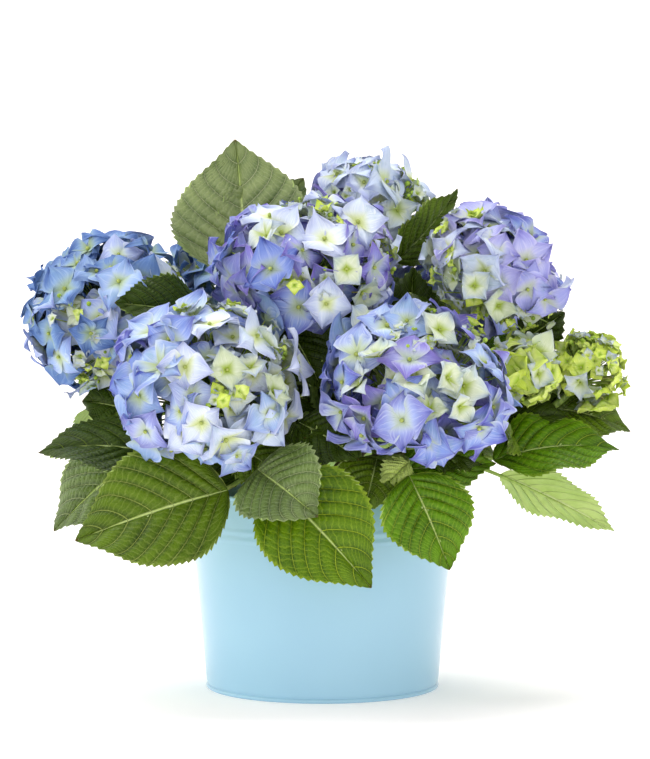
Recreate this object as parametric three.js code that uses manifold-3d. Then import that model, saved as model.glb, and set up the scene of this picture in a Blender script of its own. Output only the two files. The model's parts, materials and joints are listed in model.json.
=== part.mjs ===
// A mophead hydrangea in its painted metal pot. Ten canes fan out from one short woody crown; each carries
// leaves and, at its tip, one flower head. Millimetres, +Z up, the origin in the middle of the pot's flat
// underside, -Y the side that the fullest flower heads face.
import * as THREE from "three";
import { mergeVertices } from "three/addons/utils/BufferGeometryUtils.js";
import Module from "manifold-3d";

const wasm = await Module();
wasm.setup();

// ---------------------------------------------------------------- driving dimensions
const CLEARANCE = 0.35; // between pieces that meet
const POT = {
  height: 137,
  footRadius: 78.3,
  flare: 0.0925, // outward lean of the wall, in mm for each mm of height
  wall: 1.2,
  rollRadius: 1.3, // the rolled bead at the mouth
  footBead: 0.7, // the rolled bead round the foot
  ribs: [107.4, 113.2], // heights of the two raised ribs
  ribHalf: 2.9,
  ribRise: 0.7,
  sides: 36,
};
const SOIL_LEVEL = 124;
const SOIL_DIP = 4; // how far the soil falls off towards the wall
const CROWN = { flare: 6, radius: 14, height: 20, sides: 14, rings: 5 };
const CANE = { foot: 3.1, tip: 2.2, sides: 6, steps: 7, startUp: 10, startOut: 9, splay: 0.8 };
const MASS_FROM = 0.3; // share of a cane's run where its foliage mass begins
const NECK = 12; // length at a cane's tip that belongs to its flower head
const PETIOLE = { radius: 1.5, sides: 3, steps: 4, meets: 0.1, reach: 14 };
const LEAF = { sides: 4, rings: 5, thickness: 1.5, fold: 0.16, broadest: 0.74, fullness: 0.8 };
const FLORET = { corners: 8, notch: 0.6, dip: 1.8, root: 0.62, lean: 0.36, out: 0.88, stagger: 0.07 };
const CORE_SHARE = 0.72; // a flower head's inner core, as a share of its full size
const CANE_END = 0.6; // how far below a head's middle its cane ends, as a share of half
const HEAD_LIMIT = 1.05; // no floret reaches past this share of its head
const BALL_FULLER = 1.03;
const SKIRT = 124; // degrees from its top that a flower head's florets reach
const SEED = 20417;

const COLOURS = {
  pot: 0xa6d4ea,
  soil: 0x2b211a,
  bark: 0x6b5138,
  cane: 0x6f8a3c,
  leaf: 0x4c6e22,
  blue: 0x7f92d6,
  denim: 0x6f93cf,
  lilac: 0x9c9ade,
  pale: 0xc3cbe6,
  lime: 0xa7c23c,
};

// Each shoot is one cane with its flower head. centre is the head's middle, radius its half width, half its
// half depth along facing, and bearing the side of the crown that the cane leaves, in degrees from +X.
// pairs are the places along its run where it bears two leaves opposite each other.
const SHOOTS = [
  {
    name: "left", centre: [-148, 26, 252], radius: 62, half: 51, facing: [-0.6, -0.25, 0.8],
    bearing: 172, florets: 20, size: 44, colour: "denim", pairs: [0.62, 0.84],
  },
  {
    name: "front_left", centre: [-75, -76, 213], radius: 66, half: 52, facing: [-0.15, -0.6, 0.8],
    bearing: 222, florets: 23, size: 46, colour: "blue", pairs: [],
  },
  {
    name: "upper_middle", centre: [-10, -12, 287], radius: 66, half: 48, facing: [-0.05, -0.35, 0.95],
    bearing: 264, florets: 22, size: 46, colour: "blue", pairs: [0.78],
  },
  {
    name: "top_back", centre: [31, 84, 316], radius: 47, half: 42, facing: [0.1, 0.05, 1],
    bearing: 96, florets: 17, size: 40, colour: "pale", pairs: [0.42, 0.58, 0.74, 0.88],
  },
  {
    name: "upper_right", centre: [116, 12, 281], radius: 58, half: 41, facing: [0.4, -0.25, 0.85],
    bearing: 32, florets: 19, size: 44, colour: "lilac", pairs: [0.66, 0.84],
  },
  {
    name: "front_right", centre: [64, -81, 212], radius: 67, half: 48, facing: [0.1, -0.5, 0.85],
    bearing: 300, florets: 23, size: 46, colour: "blue", pairs: [],
  },
  {
    name: "back_left", centre: [-62, 110, 256], radius: 58, half: 46, facing: [-0.3, 0.5, 0.8],
    bearing: 134, florets: 18, size: 44, colour: "denim", pairs: [0.36, 0.54, 0.72, 0.88],
  },
  {
    name: "back_right", centre: [92, 116, 242], radius: 56, half: 44, facing: [0.35, 0.45, 0.8],
    bearing: 62, florets: 18, size: 44, colour: "lilac", pairs: [0.36, 0.54, 0.72, 0.88],
  },
  {
    name: "right_bud", centre: [180, 4, 215], radius: 27, half: 26, facing: [0.6, -0.1, 0.75],
    bearing: 2, florets: 13, size: 21, colour: "lime", pairs: [],
  },
  {
    name: "right_young", centre: [135, -24, 215], radius: 23, half: 25, facing: [0.2, -0.5, 0.8],
    bearing: 332, florets: 9, size: 28, colour: "pale", pairs: [],
  },
];

// The leaves that give the plant its outline: the shoot that bears each and where along its run, the blade's
// two ends, its width, the way that its upper face looks, and how far its midrib arches off a straight line.
const LEAVES = [
  ["front_left", 0.34, [-62, -83, 144], [-162, -97, 102], 84, [-0.1, -0.95, 0.45], 6],
  ["front_left", 0.38, [-42, -84, 150], [-4, -126, 121], 58, [-0.35, -0.75, 0.6], 4],
  ["front_left", 0.5, [-96, -46, 159], [-190, -38, 163], 66, [0, -0.5, 0.87], 9],
  ["left", 0.42, [-116, -8, 164], [-181, -20, 108], 66, [-0.45, -0.75, 0.5], 5],
  ["left", 0.6, [-118, 0, 184], [-163, 4, 194], 50, [-0.2, -0.7, 0.6], 4],
  ["left", 0.58, [-76, -6, 252], [-138, -47, 264], 46, [-0.35, -0.85, 0.4], 5],
  ["upper_middle", 0.36, [-32, -90, 152], [32, -113, 76], 72, [0.1, -0.95, 0.3], 7],
  ["back_left", 0.7, [-54, 46, 276], [-60, 52, 370], 98, [-0.2, -0.95, -0.05], -7],
  ["top_back", 0.62, [50, 46, 286], [93, 60, 343], 40, [0.65, -0.7, -0.2], 4],
  ["front_right", 0.42, [57, -87, 153], [83, -108, 93], 62, [0.15, -0.97, 0.2], 6],
  ["front_right", 0.36, [36, -66, 162], [27, -101, 130], 48, [0.1, -0.85, 0.45], 4],
  ["upper_middle", 0.44, [-16, -62, 186], [24, -85, 163], 54, [0.1, -0.85, 0.5], 4],
  ["right_young", 0.45, [114, -36, 158], [200, -18, 163], 64, [0.05, -0.55, 0.83], 8],
  ["right_young", 0.38, [120, -20, 147], [194, -2, 112], 56, [0.35, 0.75, 0.55], 2],
  ["right_bud", 0.6, [150, 12, 189], [210, 18, 172], 54, [0.1, -0.6, 0.8], 5],
  ["right_bud", 0.45, [112, 0, 180], [166, -4, 184], 42, [0.1, -0.6, 0.8], 4],
  ["upper_right", 0.6, [96, 10, 226], [150, 12, 222], 30, [0.1, -0.4, 0.9], 3],
].map(([shoot, along, from, to, width, face, arch]) => ({ shoot, along, from, to, width, face, arch }));
// The paired leaves: their length and its spread, their shape, and how they hang. A place is dropped where no
// turn about the cane lets the leaf lie clear.
const KEPT_SHARE = 0.7; // a leaf that its neighbours cut down below this share is left out
const PAIR = {
  length: 84, spread: 22, widthShare: 0.68, petiole: 20, rise: 0.35, sag: 0.5, arch: 9, turns: 9,
};
const ROOM = { head: 1.08, leaf: 7, cane: 6, rim: 99, rimTop: 144, side: 208, low: 100, front: -20 };

// ---------------------------------------------------------------- small helpers
const vec = (xyz) => new THREE.Vector3(...xyz);
const unit = (xyz) => vec(xyz).normalize();
const radians = THREE.MathUtils.degToRad;

// Numbers from 0 to 1 in a fixed order.
function seeded(seed) {
  let state = seed;
  return () => {
    state = (state * 16807) % 2147483647;
    return state / 2147483647;
  };
}

function solidOf(geometry) {
  const bare = geometry.clone();
  bare.deleteAttribute("normal");
  bare.deleteAttribute("uv");
  const merged = mergeVertices(bare, 1e-4);
  const vertProperties = merged.attributes.position.array;
  const triVerts = new Uint32Array(merged.index.array);
  return new wasm.Manifold(new wasm.Mesh({ numProp: 3, vertProperties, triVerts }));
}

function geometryOf(solid) {
  const { vertProperties, triVerts } = solid.getMesh();
  const geometry = new THREE.BufferGeometry();
  geometry.setAttribute("position", new THREE.BufferAttribute(new Float32Array(vertProperties), 3));
  geometry.setIndex(new THREE.BufferAttribute(new Uint32Array(triVerts), 1));
  geometry.computeVertexNormals();
  return geometry;
}

function eachVertex(geometry, move) {
  const place = geometry.attributes.position;
  for (let i = 0; i < place.count; i += 1) {
    const moved = move(new THREE.Vector3().fromBufferAttribute(place, i));
    place.setXYZ(i, moved.x, moved.y, moved.z);
  }
  return geometry;
}

const joined = (solids) => wasm.Manifold.union(solids);
const largestPiece = (solid) =>
  solid.decompose().reduce((best, next) => (next.volume() > best.volume() ? next : best));

function arc(x, z, radius, from, to, steps) {
  return Array.from({ length: steps + 1 }, (_, i) => {
    const angle = radians(from + ((to - from) * i) / steps);
    return new THREE.Vector2(x + radius * Math.cos(angle), z + radius * Math.sin(angle));
  });
}

const turned = (profile, sides) => new THREE.LatheGeometry(profile, sides).rotateX(Math.PI / 2);

// ---------------------------------------------------------------- pot, soil and crown
const wallRadius = (z) => POT.footRadius + POT.flare * z;

function potGeometry() {
  const { height, footRadius, footBead, wall, rollRadius, ribs, ribHalf, ribRise, sides } = POT;
  const point = (r, z) => new THREE.Vector2(r, z);
  const rib = (z) => [point(wallRadius(z - ribHalf), z - ribHalf), point(wallRadius(z) + ribRise, z)];
  const rollAt = height - rollRadius;
  const lastRib = ribs.at(-1) + ribHalf;
  const profile = [
    point(0, 0),
    point(footRadius, 0),
    ...arc(footRadius, footBead, footBead, -60, 90, 3),
    ...ribs.flatMap(rib),
    point(wallRadius(lastRib), lastRib),
    point(wallRadius(rollAt - rollRadius), rollAt - rollRadius),
    ...arc(wallRadius(rollAt), rollAt, rollRadius, -40, 140, 4),
    point(wallRadius(rollAt) - wall, rollAt - rollRadius),
    point(wallRadius(wall) - wall, wall),
    point(0, wall),
  ];
  return turned(profile, sides);
}

function soilGeometry() {
  const foot = POT.wall + CLEARANCE;
  const edge = SOIL_LEVEL - SOIL_DIP;
  const inset = POT.wall + 2 * CLEARANCE;
  const profile = [
    new THREE.Vector2(0, foot),
    new THREE.Vector2(wallRadius(foot) - inset, foot),
    new THREE.Vector2(wallRadius(edge) - inset, edge),
    new THREE.Vector2(CROWN.radius + CROWN.flare + CANE.startOut, SOIL_LEVEL),
    new THREE.Vector2(0, SOIL_LEVEL),
  ];
  return turned(profile, POT.sides);
}

// The woody crown, from its root flare to its rounded top.
function crownGeometry(grown = 0) {
  const foot = SOIL_LEVEL + CLEARANCE - grown;
  const height = CROWN.height + 2 * grown;
  const side = Array.from({ length: CROWN.rings }, (_, i) => {
    const share = i / CROWN.rings;
    const radius = CROWN.radius + CROWN.flare * (1 - share) ** 3;
    return new THREE.Vector2(radius * Math.sqrt(1 - share ** 5) + grown, foot + share * height);
  });
  return turned([new THREE.Vector2(0, foot), ...side, new THREE.Vector2(0, foot + height)], CROWN.sides);
}

// ---------------------------------------------------------------- canes
const headAxis = (shoot) => unit(shoot.facing);

function caneCurve(shoot) {
  const bearing = radians(shoot.bearing);
  const outward = new THREE.Vector3(Math.cos(bearing), Math.sin(bearing), 0);
  const start = outward.clone().multiplyScalar(CANE.startOut).setZ(SOIL_LEVEL + CANE.startUp);
  const end = vec(shoot.centre).addScaledVector(headAxis(shoot), -CANE_END * shoot.half);
  const reach = 0.35 * start.distanceTo(end);
  const leave = outward.clone().multiplyScalar(CANE.splay).setZ(1).normalize();
  return new THREE.CubicBezierCurve3(
    start,
    start.clone().addScaledVector(leave, reach),
    end.clone().addScaledVector(headAxis(shoot), -reach),
    end,
  );
}

const caneRadius = (share) => CANE.foot + (CANE.tip - CANE.foot) * share;

// A tapering round limb along a curve, from one share of its run to another.
function limb(curve, from, to, fromRadius, toRadius, sides, steps) {
  const geometry = new THREE.CylinderGeometry(toRadius, fromRadius, 1, sides, steps);
  return eachVertex(geometry, ({ x, y, z }) => {
    const share = from + (to - from) * (y + 0.5);
    const along = curve.getTangent(share);
    const level = new THREE.Vector3(0, 0, 1).cross(along).normalize();
    const rise = new THREE.Vector3().crossVectors(level, along);
    return curve.getPoint(share).addScaledVector(level, x).addScaledVector(rise, z);
  });
}

function caneLimb(shoot, from, to, grown = 0) {
  const steps = Math.max(1, Math.round((to - from) * 2 * CANE.steps));
  return solidOf(
    limb(shoot.curve, from, to, caneRadius(from) + grown, caneRadius(to) + grown, CANE.sides, steps),
  );
}

// ---------------------------------------------------------------- leaves
// A blade's half width at a share of its length, as a share of its fullest.
const bladeShape = (share) => Math.sin(Math.PI * share ** LEAF.broadest) ** LEAF.fullness;

function midrib(leaf) {
  const start = vec(leaf.from);
  const end = vec(leaf.to);
  const middle = start.clone().lerp(end, 0.5).addScaledVector(unit(leaf.face), 2 * leaf.arch);
  return new THREE.QuadraticBezierCurve3(start, middle, end);
}

// A place on a leaf: how far along its midrib, how far across it and how far above it, in mm.
function onLeaf(leaf, share, across, above) {
  const curve = midrib(leaf);
  const along = curve.getTangent(share);
  const side = new THREE.Vector3().crossVectors(unit(leaf.face), along).normalize();
  const up = new THREE.Vector3().crossVectors(along, side);
  return curve.getPoint(share).addScaledVector(side, across).addScaledVector(up, above);
}

function blade(leaf, grown = 0) {
  const geometry = new THREE.SphereGeometry(1, LEAF.sides, LEAF.rings);
  return solidOf(
    eachVertex(geometry, ({ x, y, z }) => {
      const share = Math.acos(THREE.MathUtils.clamp(y, -1, 1)) / Math.PI;
      const ring = Math.hypot(x, z);
      if (ring < 1e-3) return onLeaf(leaf, share, 0, 0);
      const half = 0.5 * leaf.width * bladeShape(share);
      const across = (x / ring) * (half + grown);
      const above = (z / ring) * (0.5 * LEAF.thickness + grown) + LEAF.fold * Math.abs(across);
      return onLeaf(leaf, share, across, above);
    }),
  );
}

function petioleCurve(leaf, cane) {
  const root = cane.getPoint(leaf.along);
  const end = onLeaf(leaf, PETIOLE.meets, 0, 0);
  const reach = Math.min(0.3 * root.distanceTo(end), PETIOLE.reach);
  return new THREE.CubicBezierCurve3(
    root,
    root.clone().lerp(end, 0.25).add(new THREE.Vector3(0, 0, 0.4 * reach)),
    end.clone().addScaledVector(midrib(leaf).getTangent(0), -reach),
    end,
  );
}

function petiole(leaf, cane, grown = 0) {
  const { radius, sides, steps } = PETIOLE;
  return solidOf(limb(petioleCurve(leaf, cane), 0, 1, radius + grown, 0.8 * radius + grown, sides, steps));
}

// Whether a point is inside a flower head's space, a little grown.
function insideHead(point, shoot, share) {
  const away = point.clone().sub(vec(shoot.centre));
  const along = away.dot(headAxis(shoot));
  const out = away.addScaledVector(headAxis(shoot), -along).length();
  return (along / shoot.half) ** 2 + (out / shoot.radius) ** 2 < share ** 2;
}

// A few places spread over a blade, to test whether it lies clear.
function bladeSpots(leaf) {
  return [0.05, 0.2, 0.35, 0.5, 0.65, 0.8, 1].flatMap((share) => {
    const half = share < 1 ? 0.5 * leaf.width * bladeShape(share) : 0;
    return [-1, -0.5, 0, 0.5, 1].map((k) => onLeaf(leaf, share, k * half, LEAF.fold * Math.abs(k) * half));
  });
}

const canePoints = (shoot) => Array.from({ length: 25 }, (_, i) => shoot.curve.getPoint(i / 24));

function liesClear(leaf, spots, placed) {
  const inPot = (p) => Math.hypot(p.x, p.y) < ROOM.rim && p.z < ROOM.rimTop;
  const outside = (p) => p.z < ROOM.low || Math.abs(p.x) > ROOM.side || p.y < ROOM.front;
  if (spots.some((p) => inPot(p) || outside(p))) return false;
  if (SHOOTS.some((shoot) => spots.some((p) => insideHead(p, shoot, ROOM.head)))) return false;
  const others = SHOOTS.filter((shoot) => shoot.name !== leaf.shoot).flatMap((shoot) => shoot.points);
  if (others.some((q) => spots.some((p) => p.distanceTo(q) < ROOM.cane))) return false;
  return placed.every((other) => other.spots.every((q) => spots.every((p) => p.distanceTo(q) > ROOM.leaf)));
}

// A paired leaf: it leaves the cane square to it at the given turn, lifts a little and then hangs.
function pairedLeaf(shoot, along, turn, length) {
  const cane = shoot.curve.getTangent(along);
  const level = new THREE.Vector3(0, 0, 1).cross(cane).normalize();
  const across = level.applyAxisAngle(cane, turn);
  const heading = across.clone().addScaledVector(cane, PAIR.rise).normalize();
  const from = shoot.curve.getPoint(along).addScaledVector(heading, PAIR.petiole);
  const to = from.clone().addScaledVector(heading, length).add(new THREE.Vector3(0, 0, -PAIR.sag * length));
  const side = heading.clone().cross(cane);
  return {
    shoot: shoot.name,
    along,
    from: from.toArray(),
    to: to.toArray(),
    width: PAIR.widthShare * from.distanceTo(to),
    face: side.cross(to.clone().sub(from)).normalize().toArray(),
    arch: PAIR.arch,
  };
}

function allLeaves() {
  const random = seeded(SEED);
  const placed = LEAVES.map((leaf) => ({ leaf, spots: bladeSpots(leaf) }));
  for (const shoot of SHOOTS) {
    for (const along of shoot.pairs) {
      const start = random() * Math.PI;
      const length = PAIR.length + PAIR.spread * (random() - 0.5);
      for (const facing of [0, Math.PI]) {
        const choices = Array.from({ length: PAIR.turns }, (_, i) => {
          const turn = start + facing + ((i % 2 ? -1 : 1) * Math.ceil(i / 2) * Math.PI) / PAIR.turns;
          const leaf = pairedLeaf(shoot, along, turn, length);
          return { leaf, spots: bladeSpots(leaf) };
        });
        const clear = choices.find(({ leaf, spots }) => liesClear(leaf, spots, placed));
        if (clear) placed.push(clear);
      }
    }
  }
  return placed.map(({ leaf }) => leaf);
}

// ---------------------------------------------------------------- flower heads
const headTurn = (shoot) =>
  new THREE.Quaternion().setFromUnitVectors(new THREE.Vector3(0, 0, 1), headAxis(shoot));

// A faceted ball of a flower head's form; its corners touch the true form, so a space to keep is made fuller.
function headBall(shoot, share, detail) {
  return solidOf(
    new THREE.IcosahedronGeometry(share, detail)
      .scale(shoot.radius, shoot.radius, shoot.half)
      .applyQuaternion(headTurn(shoot))
      .translate(...shoot.centre),
  );
}

// Directions on a flower head: the golden-angle spiral from its top down to its skirt.
function headDirections(count) {
  const lowest = Math.cos(radians(SKIRT));
  const golden = Math.PI * (3 - Math.sqrt(5));
  return Array.from({ length: count }, (_, i) => {
    const level = 1 - ((1 - lowest) * (i + 0.5)) / count;
    const ring = Math.sqrt(1 - level * level);
    return new THREE.Vector3(ring * Math.cos(i * golden), ring * Math.sin(i * golden), level);
  });
}

function onHead(shoot, direction, share) {
  const size = new THREE.Vector3(shoot.radius, shoot.radius, shoot.half);
  const away = direction.clone().multiply(size).multiplyScalar(share).applyQuaternion(headTurn(shoot));
  return away.add(vec(shoot.centre));
}

// Draws a point that lies past a flower head's limit back onto it.
function withinHead(shoot, point) {
  const middle = vec(shoot.centre);
  const away = point.clone().sub(middle);
  const along = away.dot(headAxis(shoot));
  const out = Math.sqrt(away.lengthSq() - along * along);
  const share = Math.hypot(along / shoot.half, out / shoot.radius);
  return middle.addScaledVector(away, Math.min(1, HEAD_LIMIT / share));
}

// One floret: a shallow four-pointed star whose underside runs down to a point inside the core.
function floret(shoot, direction, random) {
  const tip = 0.5 * shoot.size * (0.9 + 0.2 * random());
  const spin = random() * Math.PI;
  const lean = new THREE.Vector3(random() - 0.5, random() - 0.5, random() - 0.5).multiplyScalar(FLORET.lean);
  const size = new THREE.Vector3(shoot.radius, shoot.radius, shoot.half);
  const square = direction.clone().divide(size).normalize().applyQuaternion(headTurn(shoot));
  const out = square.add(lean).normalize();
  const turn = new THREE.Quaternion().setFromUnitVectors(new THREE.Vector3(0, 1, 0), out);
  const middle = onHead(shoot, direction, FLORET.out + FLORET.stagger * random());
  return solidOf(
    eachVertex(new THREE.SphereGeometry(1, FLORET.corners, 2), ({ x, y, z }) => {
      if (y > 0.5) return middle.clone().addScaledVector(out, -FLORET.dip);
      if (y < -0.5) return onHead(shoot, direction, FLORET.root);
      const angle = Math.atan2(z, x);
      const corner = Math.round((angle / Math.PI) * (FLORET.corners / 2));
      const radius = corner % 2 === 0 ? tip : tip * FLORET.notch;
      const rim = new THREE.Vector3(radius * Math.cos(angle + spin), 0, radius * Math.sin(angle + spin));
      return withinHead(shoot, rim.applyQuaternion(turn).add(middle));
    }),
  );
}

function flowerHead(shoot) {
  const random = seeded(SEED + shoot.bearing);
  const neck = caneLimb(shoot, shoot.massTo + CLEARANCE / shoot.run, 1);
  const florets = headDirections(shoot.florets).map((direction) => floret(shoot, direction, random));
  return joined([headBall(shoot, CORE_SHARE, 1), neck, ...florets]);
}

// ---------------------------------------------------------------- the plant, piece by piece
const plant = new THREE.Group();

function place(name, geometry, colour, roughness, metalness = 0) {
  const material = new THREE.MeshStandardMaterial({ color: COLOURS[colour], roughness, metalness });
  const mesh = new THREE.Mesh(geometry, material);
  mesh.name = name;
  plant.add(mesh);
}

function cutBy(solid, spaces) {
  return spaces.reduce((left, space) => left.subtract(space), solid);
}

place("pot", potGeometry(), "pot", 0.3, 0.1);
place("soil", soilGeometry(), "soil", 0.95);
place("crown", crownGeometry(), "bark", 0.85);

for (const shoot of SHOOTS) {
  shoot.curve = caneCurve(shoot);
  shoot.run = shoot.curve.getLength();
  shoot.massTo = 1 - NECK / shoot.run;
  shoot.points = canePoints(shoot);
  shoot.caneSpace = caneLimb(shoot, 0, 1, CLEARANCE);
}

const potSpace = solidOf(potGeometry());
const crownSpace = solidOf(crownGeometry(CLEARANCE));
const madeHeads = [];
const madeLeaves = [];
const leaves = allLeaves();

for (const shoot of SHOOTS) {
  const bough = caneLimb(shoot, 0, MASS_FROM - CLEARANCE / shoot.run);
  place(`cane_${shoot.name}`, geometryOf(largestPiece(bough.subtract(crownSpace))), "cane", 0.7);
}

for (const shoot of SHOOTS) {
  const otherCanes = SHOOTS.filter((other) => other !== shoot).map((other) => other.caneSpace);
  const head = largestPiece(cutBy(flowerHead(shoot), [...madeHeads, ...otherCanes]));
  place(`flowers_${shoot.name}`, geometryOf(head), shoot.colour, 0.65);
  madeHeads.push(headBall(shoot, BALL_FULLER * (HEAD_LIMIT + CLEARANCE / shoot.half), 2));
}

for (const shoot of SHOOTS) {
  const otherCanes = SHOOTS.filter((other) => other !== shoot).map((other) => other.caneSpace);
  const ownEnds = [caneLimb(shoot, 0, MASS_FROM, CLEARANCE), caneLimb(shoot, shoot.massTo, 1, CLEARANCE)];
  const stem = caneLimb(shoot, MASS_FROM, shoot.massTo);
  const spaces = [potSpace, crownSpace, ...ownEnds, ...otherCanes, ...madeHeads, ...madeLeaves];
  let mass = stem;
  for (const leaf of leaves.filter(({ shoot: bearer }) => bearer === shoot.name)) {
    const whole = blade(leaf).add(petiole(leaf, shoot.curve));
    const clear = largestPiece(cutBy(whole, spaces));
    if (clear.volume() < KEPT_SHARE * whole.volume() || clear.intersect(stem).isEmpty()) continue;
    mass = mass.add(clear);
    madeLeaves.push(blade(leaf, CLEARANCE), petiole(leaf, shoot.curve, CLEARANCE));
  }
  place(`foliage_${shoot.name}`, geometryOf(mass), "leaf", 0.6);
}

export default plant;
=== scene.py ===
"""A mophead hydrangea in its painted metal pot, dressed over its plain solids.

The pot, soil, crown and canes are modelled with Blender's own tools. Leaves and florets are grown by the same
rules as the solids, carried to toothed, veined blades and to petals, and joined by kind for each cane.
"""
import json
import math

import bmesh
import bpy
import numpy as np
from mathutils import Matrix, Vector


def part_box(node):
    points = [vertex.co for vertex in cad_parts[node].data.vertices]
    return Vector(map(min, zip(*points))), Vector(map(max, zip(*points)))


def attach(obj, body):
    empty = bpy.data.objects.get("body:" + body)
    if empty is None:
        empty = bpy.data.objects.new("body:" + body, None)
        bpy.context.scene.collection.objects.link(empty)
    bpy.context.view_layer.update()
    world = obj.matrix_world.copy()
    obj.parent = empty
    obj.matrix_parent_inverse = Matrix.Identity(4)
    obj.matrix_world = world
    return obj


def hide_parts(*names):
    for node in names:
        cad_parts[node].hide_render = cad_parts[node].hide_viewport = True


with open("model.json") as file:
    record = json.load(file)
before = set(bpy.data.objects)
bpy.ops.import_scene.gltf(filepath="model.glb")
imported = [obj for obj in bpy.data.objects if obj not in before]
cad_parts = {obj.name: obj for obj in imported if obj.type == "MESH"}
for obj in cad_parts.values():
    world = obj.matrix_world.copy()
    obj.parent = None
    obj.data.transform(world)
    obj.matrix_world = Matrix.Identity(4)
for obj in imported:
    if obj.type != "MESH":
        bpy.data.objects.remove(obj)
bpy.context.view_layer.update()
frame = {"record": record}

bl_info = {
    "name": "Potted hydrangea",
    "version": (1, 0, 0),
    "blender": (4, 5, 0),
    "location": "View3D > Sidebar > Hydrangea",
    "description": "Builds a flowering mophead hydrangea in a painted metal pot",
    "category": "Add Mesh",
}

MM = 0.001

# ---------------------------------------------------------------- what the plant is grown from, in mm
SOIL_LEVEL = 124
SOIL_DIP = 4  # how far the soil falls off towards the wall
CROWN = {"flare": 6, "radius": 14, "height": 20, "foot": 0.4, "rings": 12, "closed": 0.98}
CANE = {"start_up": 10, "start_out": 9, "splay": 0.8, "bend": 0.35, "end": 0.6}
BLADE = {"fold": 0.16, "broadest": 0.74, "fullness": 0.8}
PETIOLE = {"meets": 0.1, "reach": 14, "pull": 0.3, "leave": 0.25, "lift": 0.4}
SKIRT = 124  # degrees from its top that a flower head's florets reach
SEED = 20417

# Each shoot is one cane with its flower head. centre is the head's middle, radius its half width, half its
# half depth along facing, bearing the side of the crown that the cane leaves, and pairs where it has leaves.
# florets and buds are how many it has, and size how wide a floret is. skirt is how far down they reach where
# that isn't SKIRT, held_in how much deeper than usual they sit, and open how far they have opened. young is
# how young and pale the whole head is, and pale the side on which its florets are younger still.
SHOOTS = {
    "left": {
        "centre": (-148, 26, 252), "radius": 62, "half": 51, "facing": (-0.6, -0.25, 0.8), "bearing": 172,
        "pairs": (0.62, 0.84), "florets": 116, "buds": 50, "size": 35, "skirt": 155, "held_in": 0.03,
        "colour": "denim", "pale": (0.5, -0.5, -0.3), "young": 0.28,
    },
    "front_left": {
        "centre": (-75, -76, 213), "radius": 66, "half": 52, "facing": (-0.15, -0.6, 0.8), "bearing": 222,
        "pairs": (), "florets": 90, "buds": 60, "size": 37,
        "colour": "sky", "pale": (0.9, -0.2, 0.3), "young": 0.5,
    },
    "upper_middle": {
        "centre": (-10, -12, 287), "radius": 66, "half": 48, "facing": (-0.05, -0.35, 0.95), "bearing": 264,
        "pairs": (0.78,), "florets": 86, "buds": 50, "size": 37,
        "colour": "periwinkle", "pale": (0.7, -0.3, 0.6), "young": 0.44,
    },
    "top_back": {
        "centre": (31, 84, 316), "radius": 47, "half": 42, "facing": (0.1, 0.05, 1), "bearing": 96,
        "pairs": (0.42, 0.58, 0.74, 0.88), "florets": 62, "buds": 44, "size": 36, "held_in": 0.03,
        "colour": "pale", "pale": (0.9, -0.4, -0.4), "young": 0.68,
    },
    "upper_right": {
        "centre": (116, 12, 281), "radius": 58, "half": 41, "facing": (0.4, -0.25, 0.85), "bearing": 32,
        "pairs": (0.66, 0.84), "florets": 72, "buds": 46, "size": 34, "held_in": 0.09,
        "colour": "lilac", "pale": (-0.3, -0.5, -0.8), "young": 0.74,
    },
    "front_right": {
        "centre": (64, -81, 212), "radius": 67, "half": 48, "facing": (0.1, -0.5, 0.85), "bearing": 300,
        "pairs": (), "florets": 90, "buds": 50, "size": 37,
        "colour": "violet", "pale": (0.4, -0.2, 0.8), "young": 0.46,
    },
    "back_left": {
        "centre": (-62, 110, 256), "radius": 58, "half": 46, "facing": (-0.3, 0.5, 0.8), "bearing": 134,
        "pairs": (0.36, 0.54, 0.72, 0.88), "florets": 70, "buds": 24, "size": 36,
        "colour": "denim", "pale": (0, 0.5, -0.5), "young": 0.3,
    },
    "back_right": {
        "centre": (92, 116, 242), "radius": 56, "half": 44, "facing": (0.35, 0.45, 0.8), "bearing": 62,
        "pairs": (0.36, 0.54, 0.72, 0.88), "florets": 70, "buds": 24, "size": 36,
        "colour": "lilac", "pale": (0.5, 0.5, 0), "young": 0.3,
    },
    "right_bud": {
        "centre": (180, 4, 215), "radius": 27, "half": 26, "facing": (0.6, -0.1, 0.75), "bearing": 2,
        "pairs": (), "florets": 56, "buds": 80, "size": 19, "skirt": 155, "open": 0.6,
        "colour": "bud", "pale": (0, 0, 1), "young": 1.0,
    },
    "right_young": {
        "centre": (135, -24, 215), "radius": 23, "half": 25, "facing": (0.2, -0.5, 0.8), "bearing": 332,
        "pairs": (), "florets": 34, "buds": 30, "size": 26, "open": 0.8,
        "colour": "cream", "pale": (0, 0, -1), "young": 0.85,
    },
}

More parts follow.
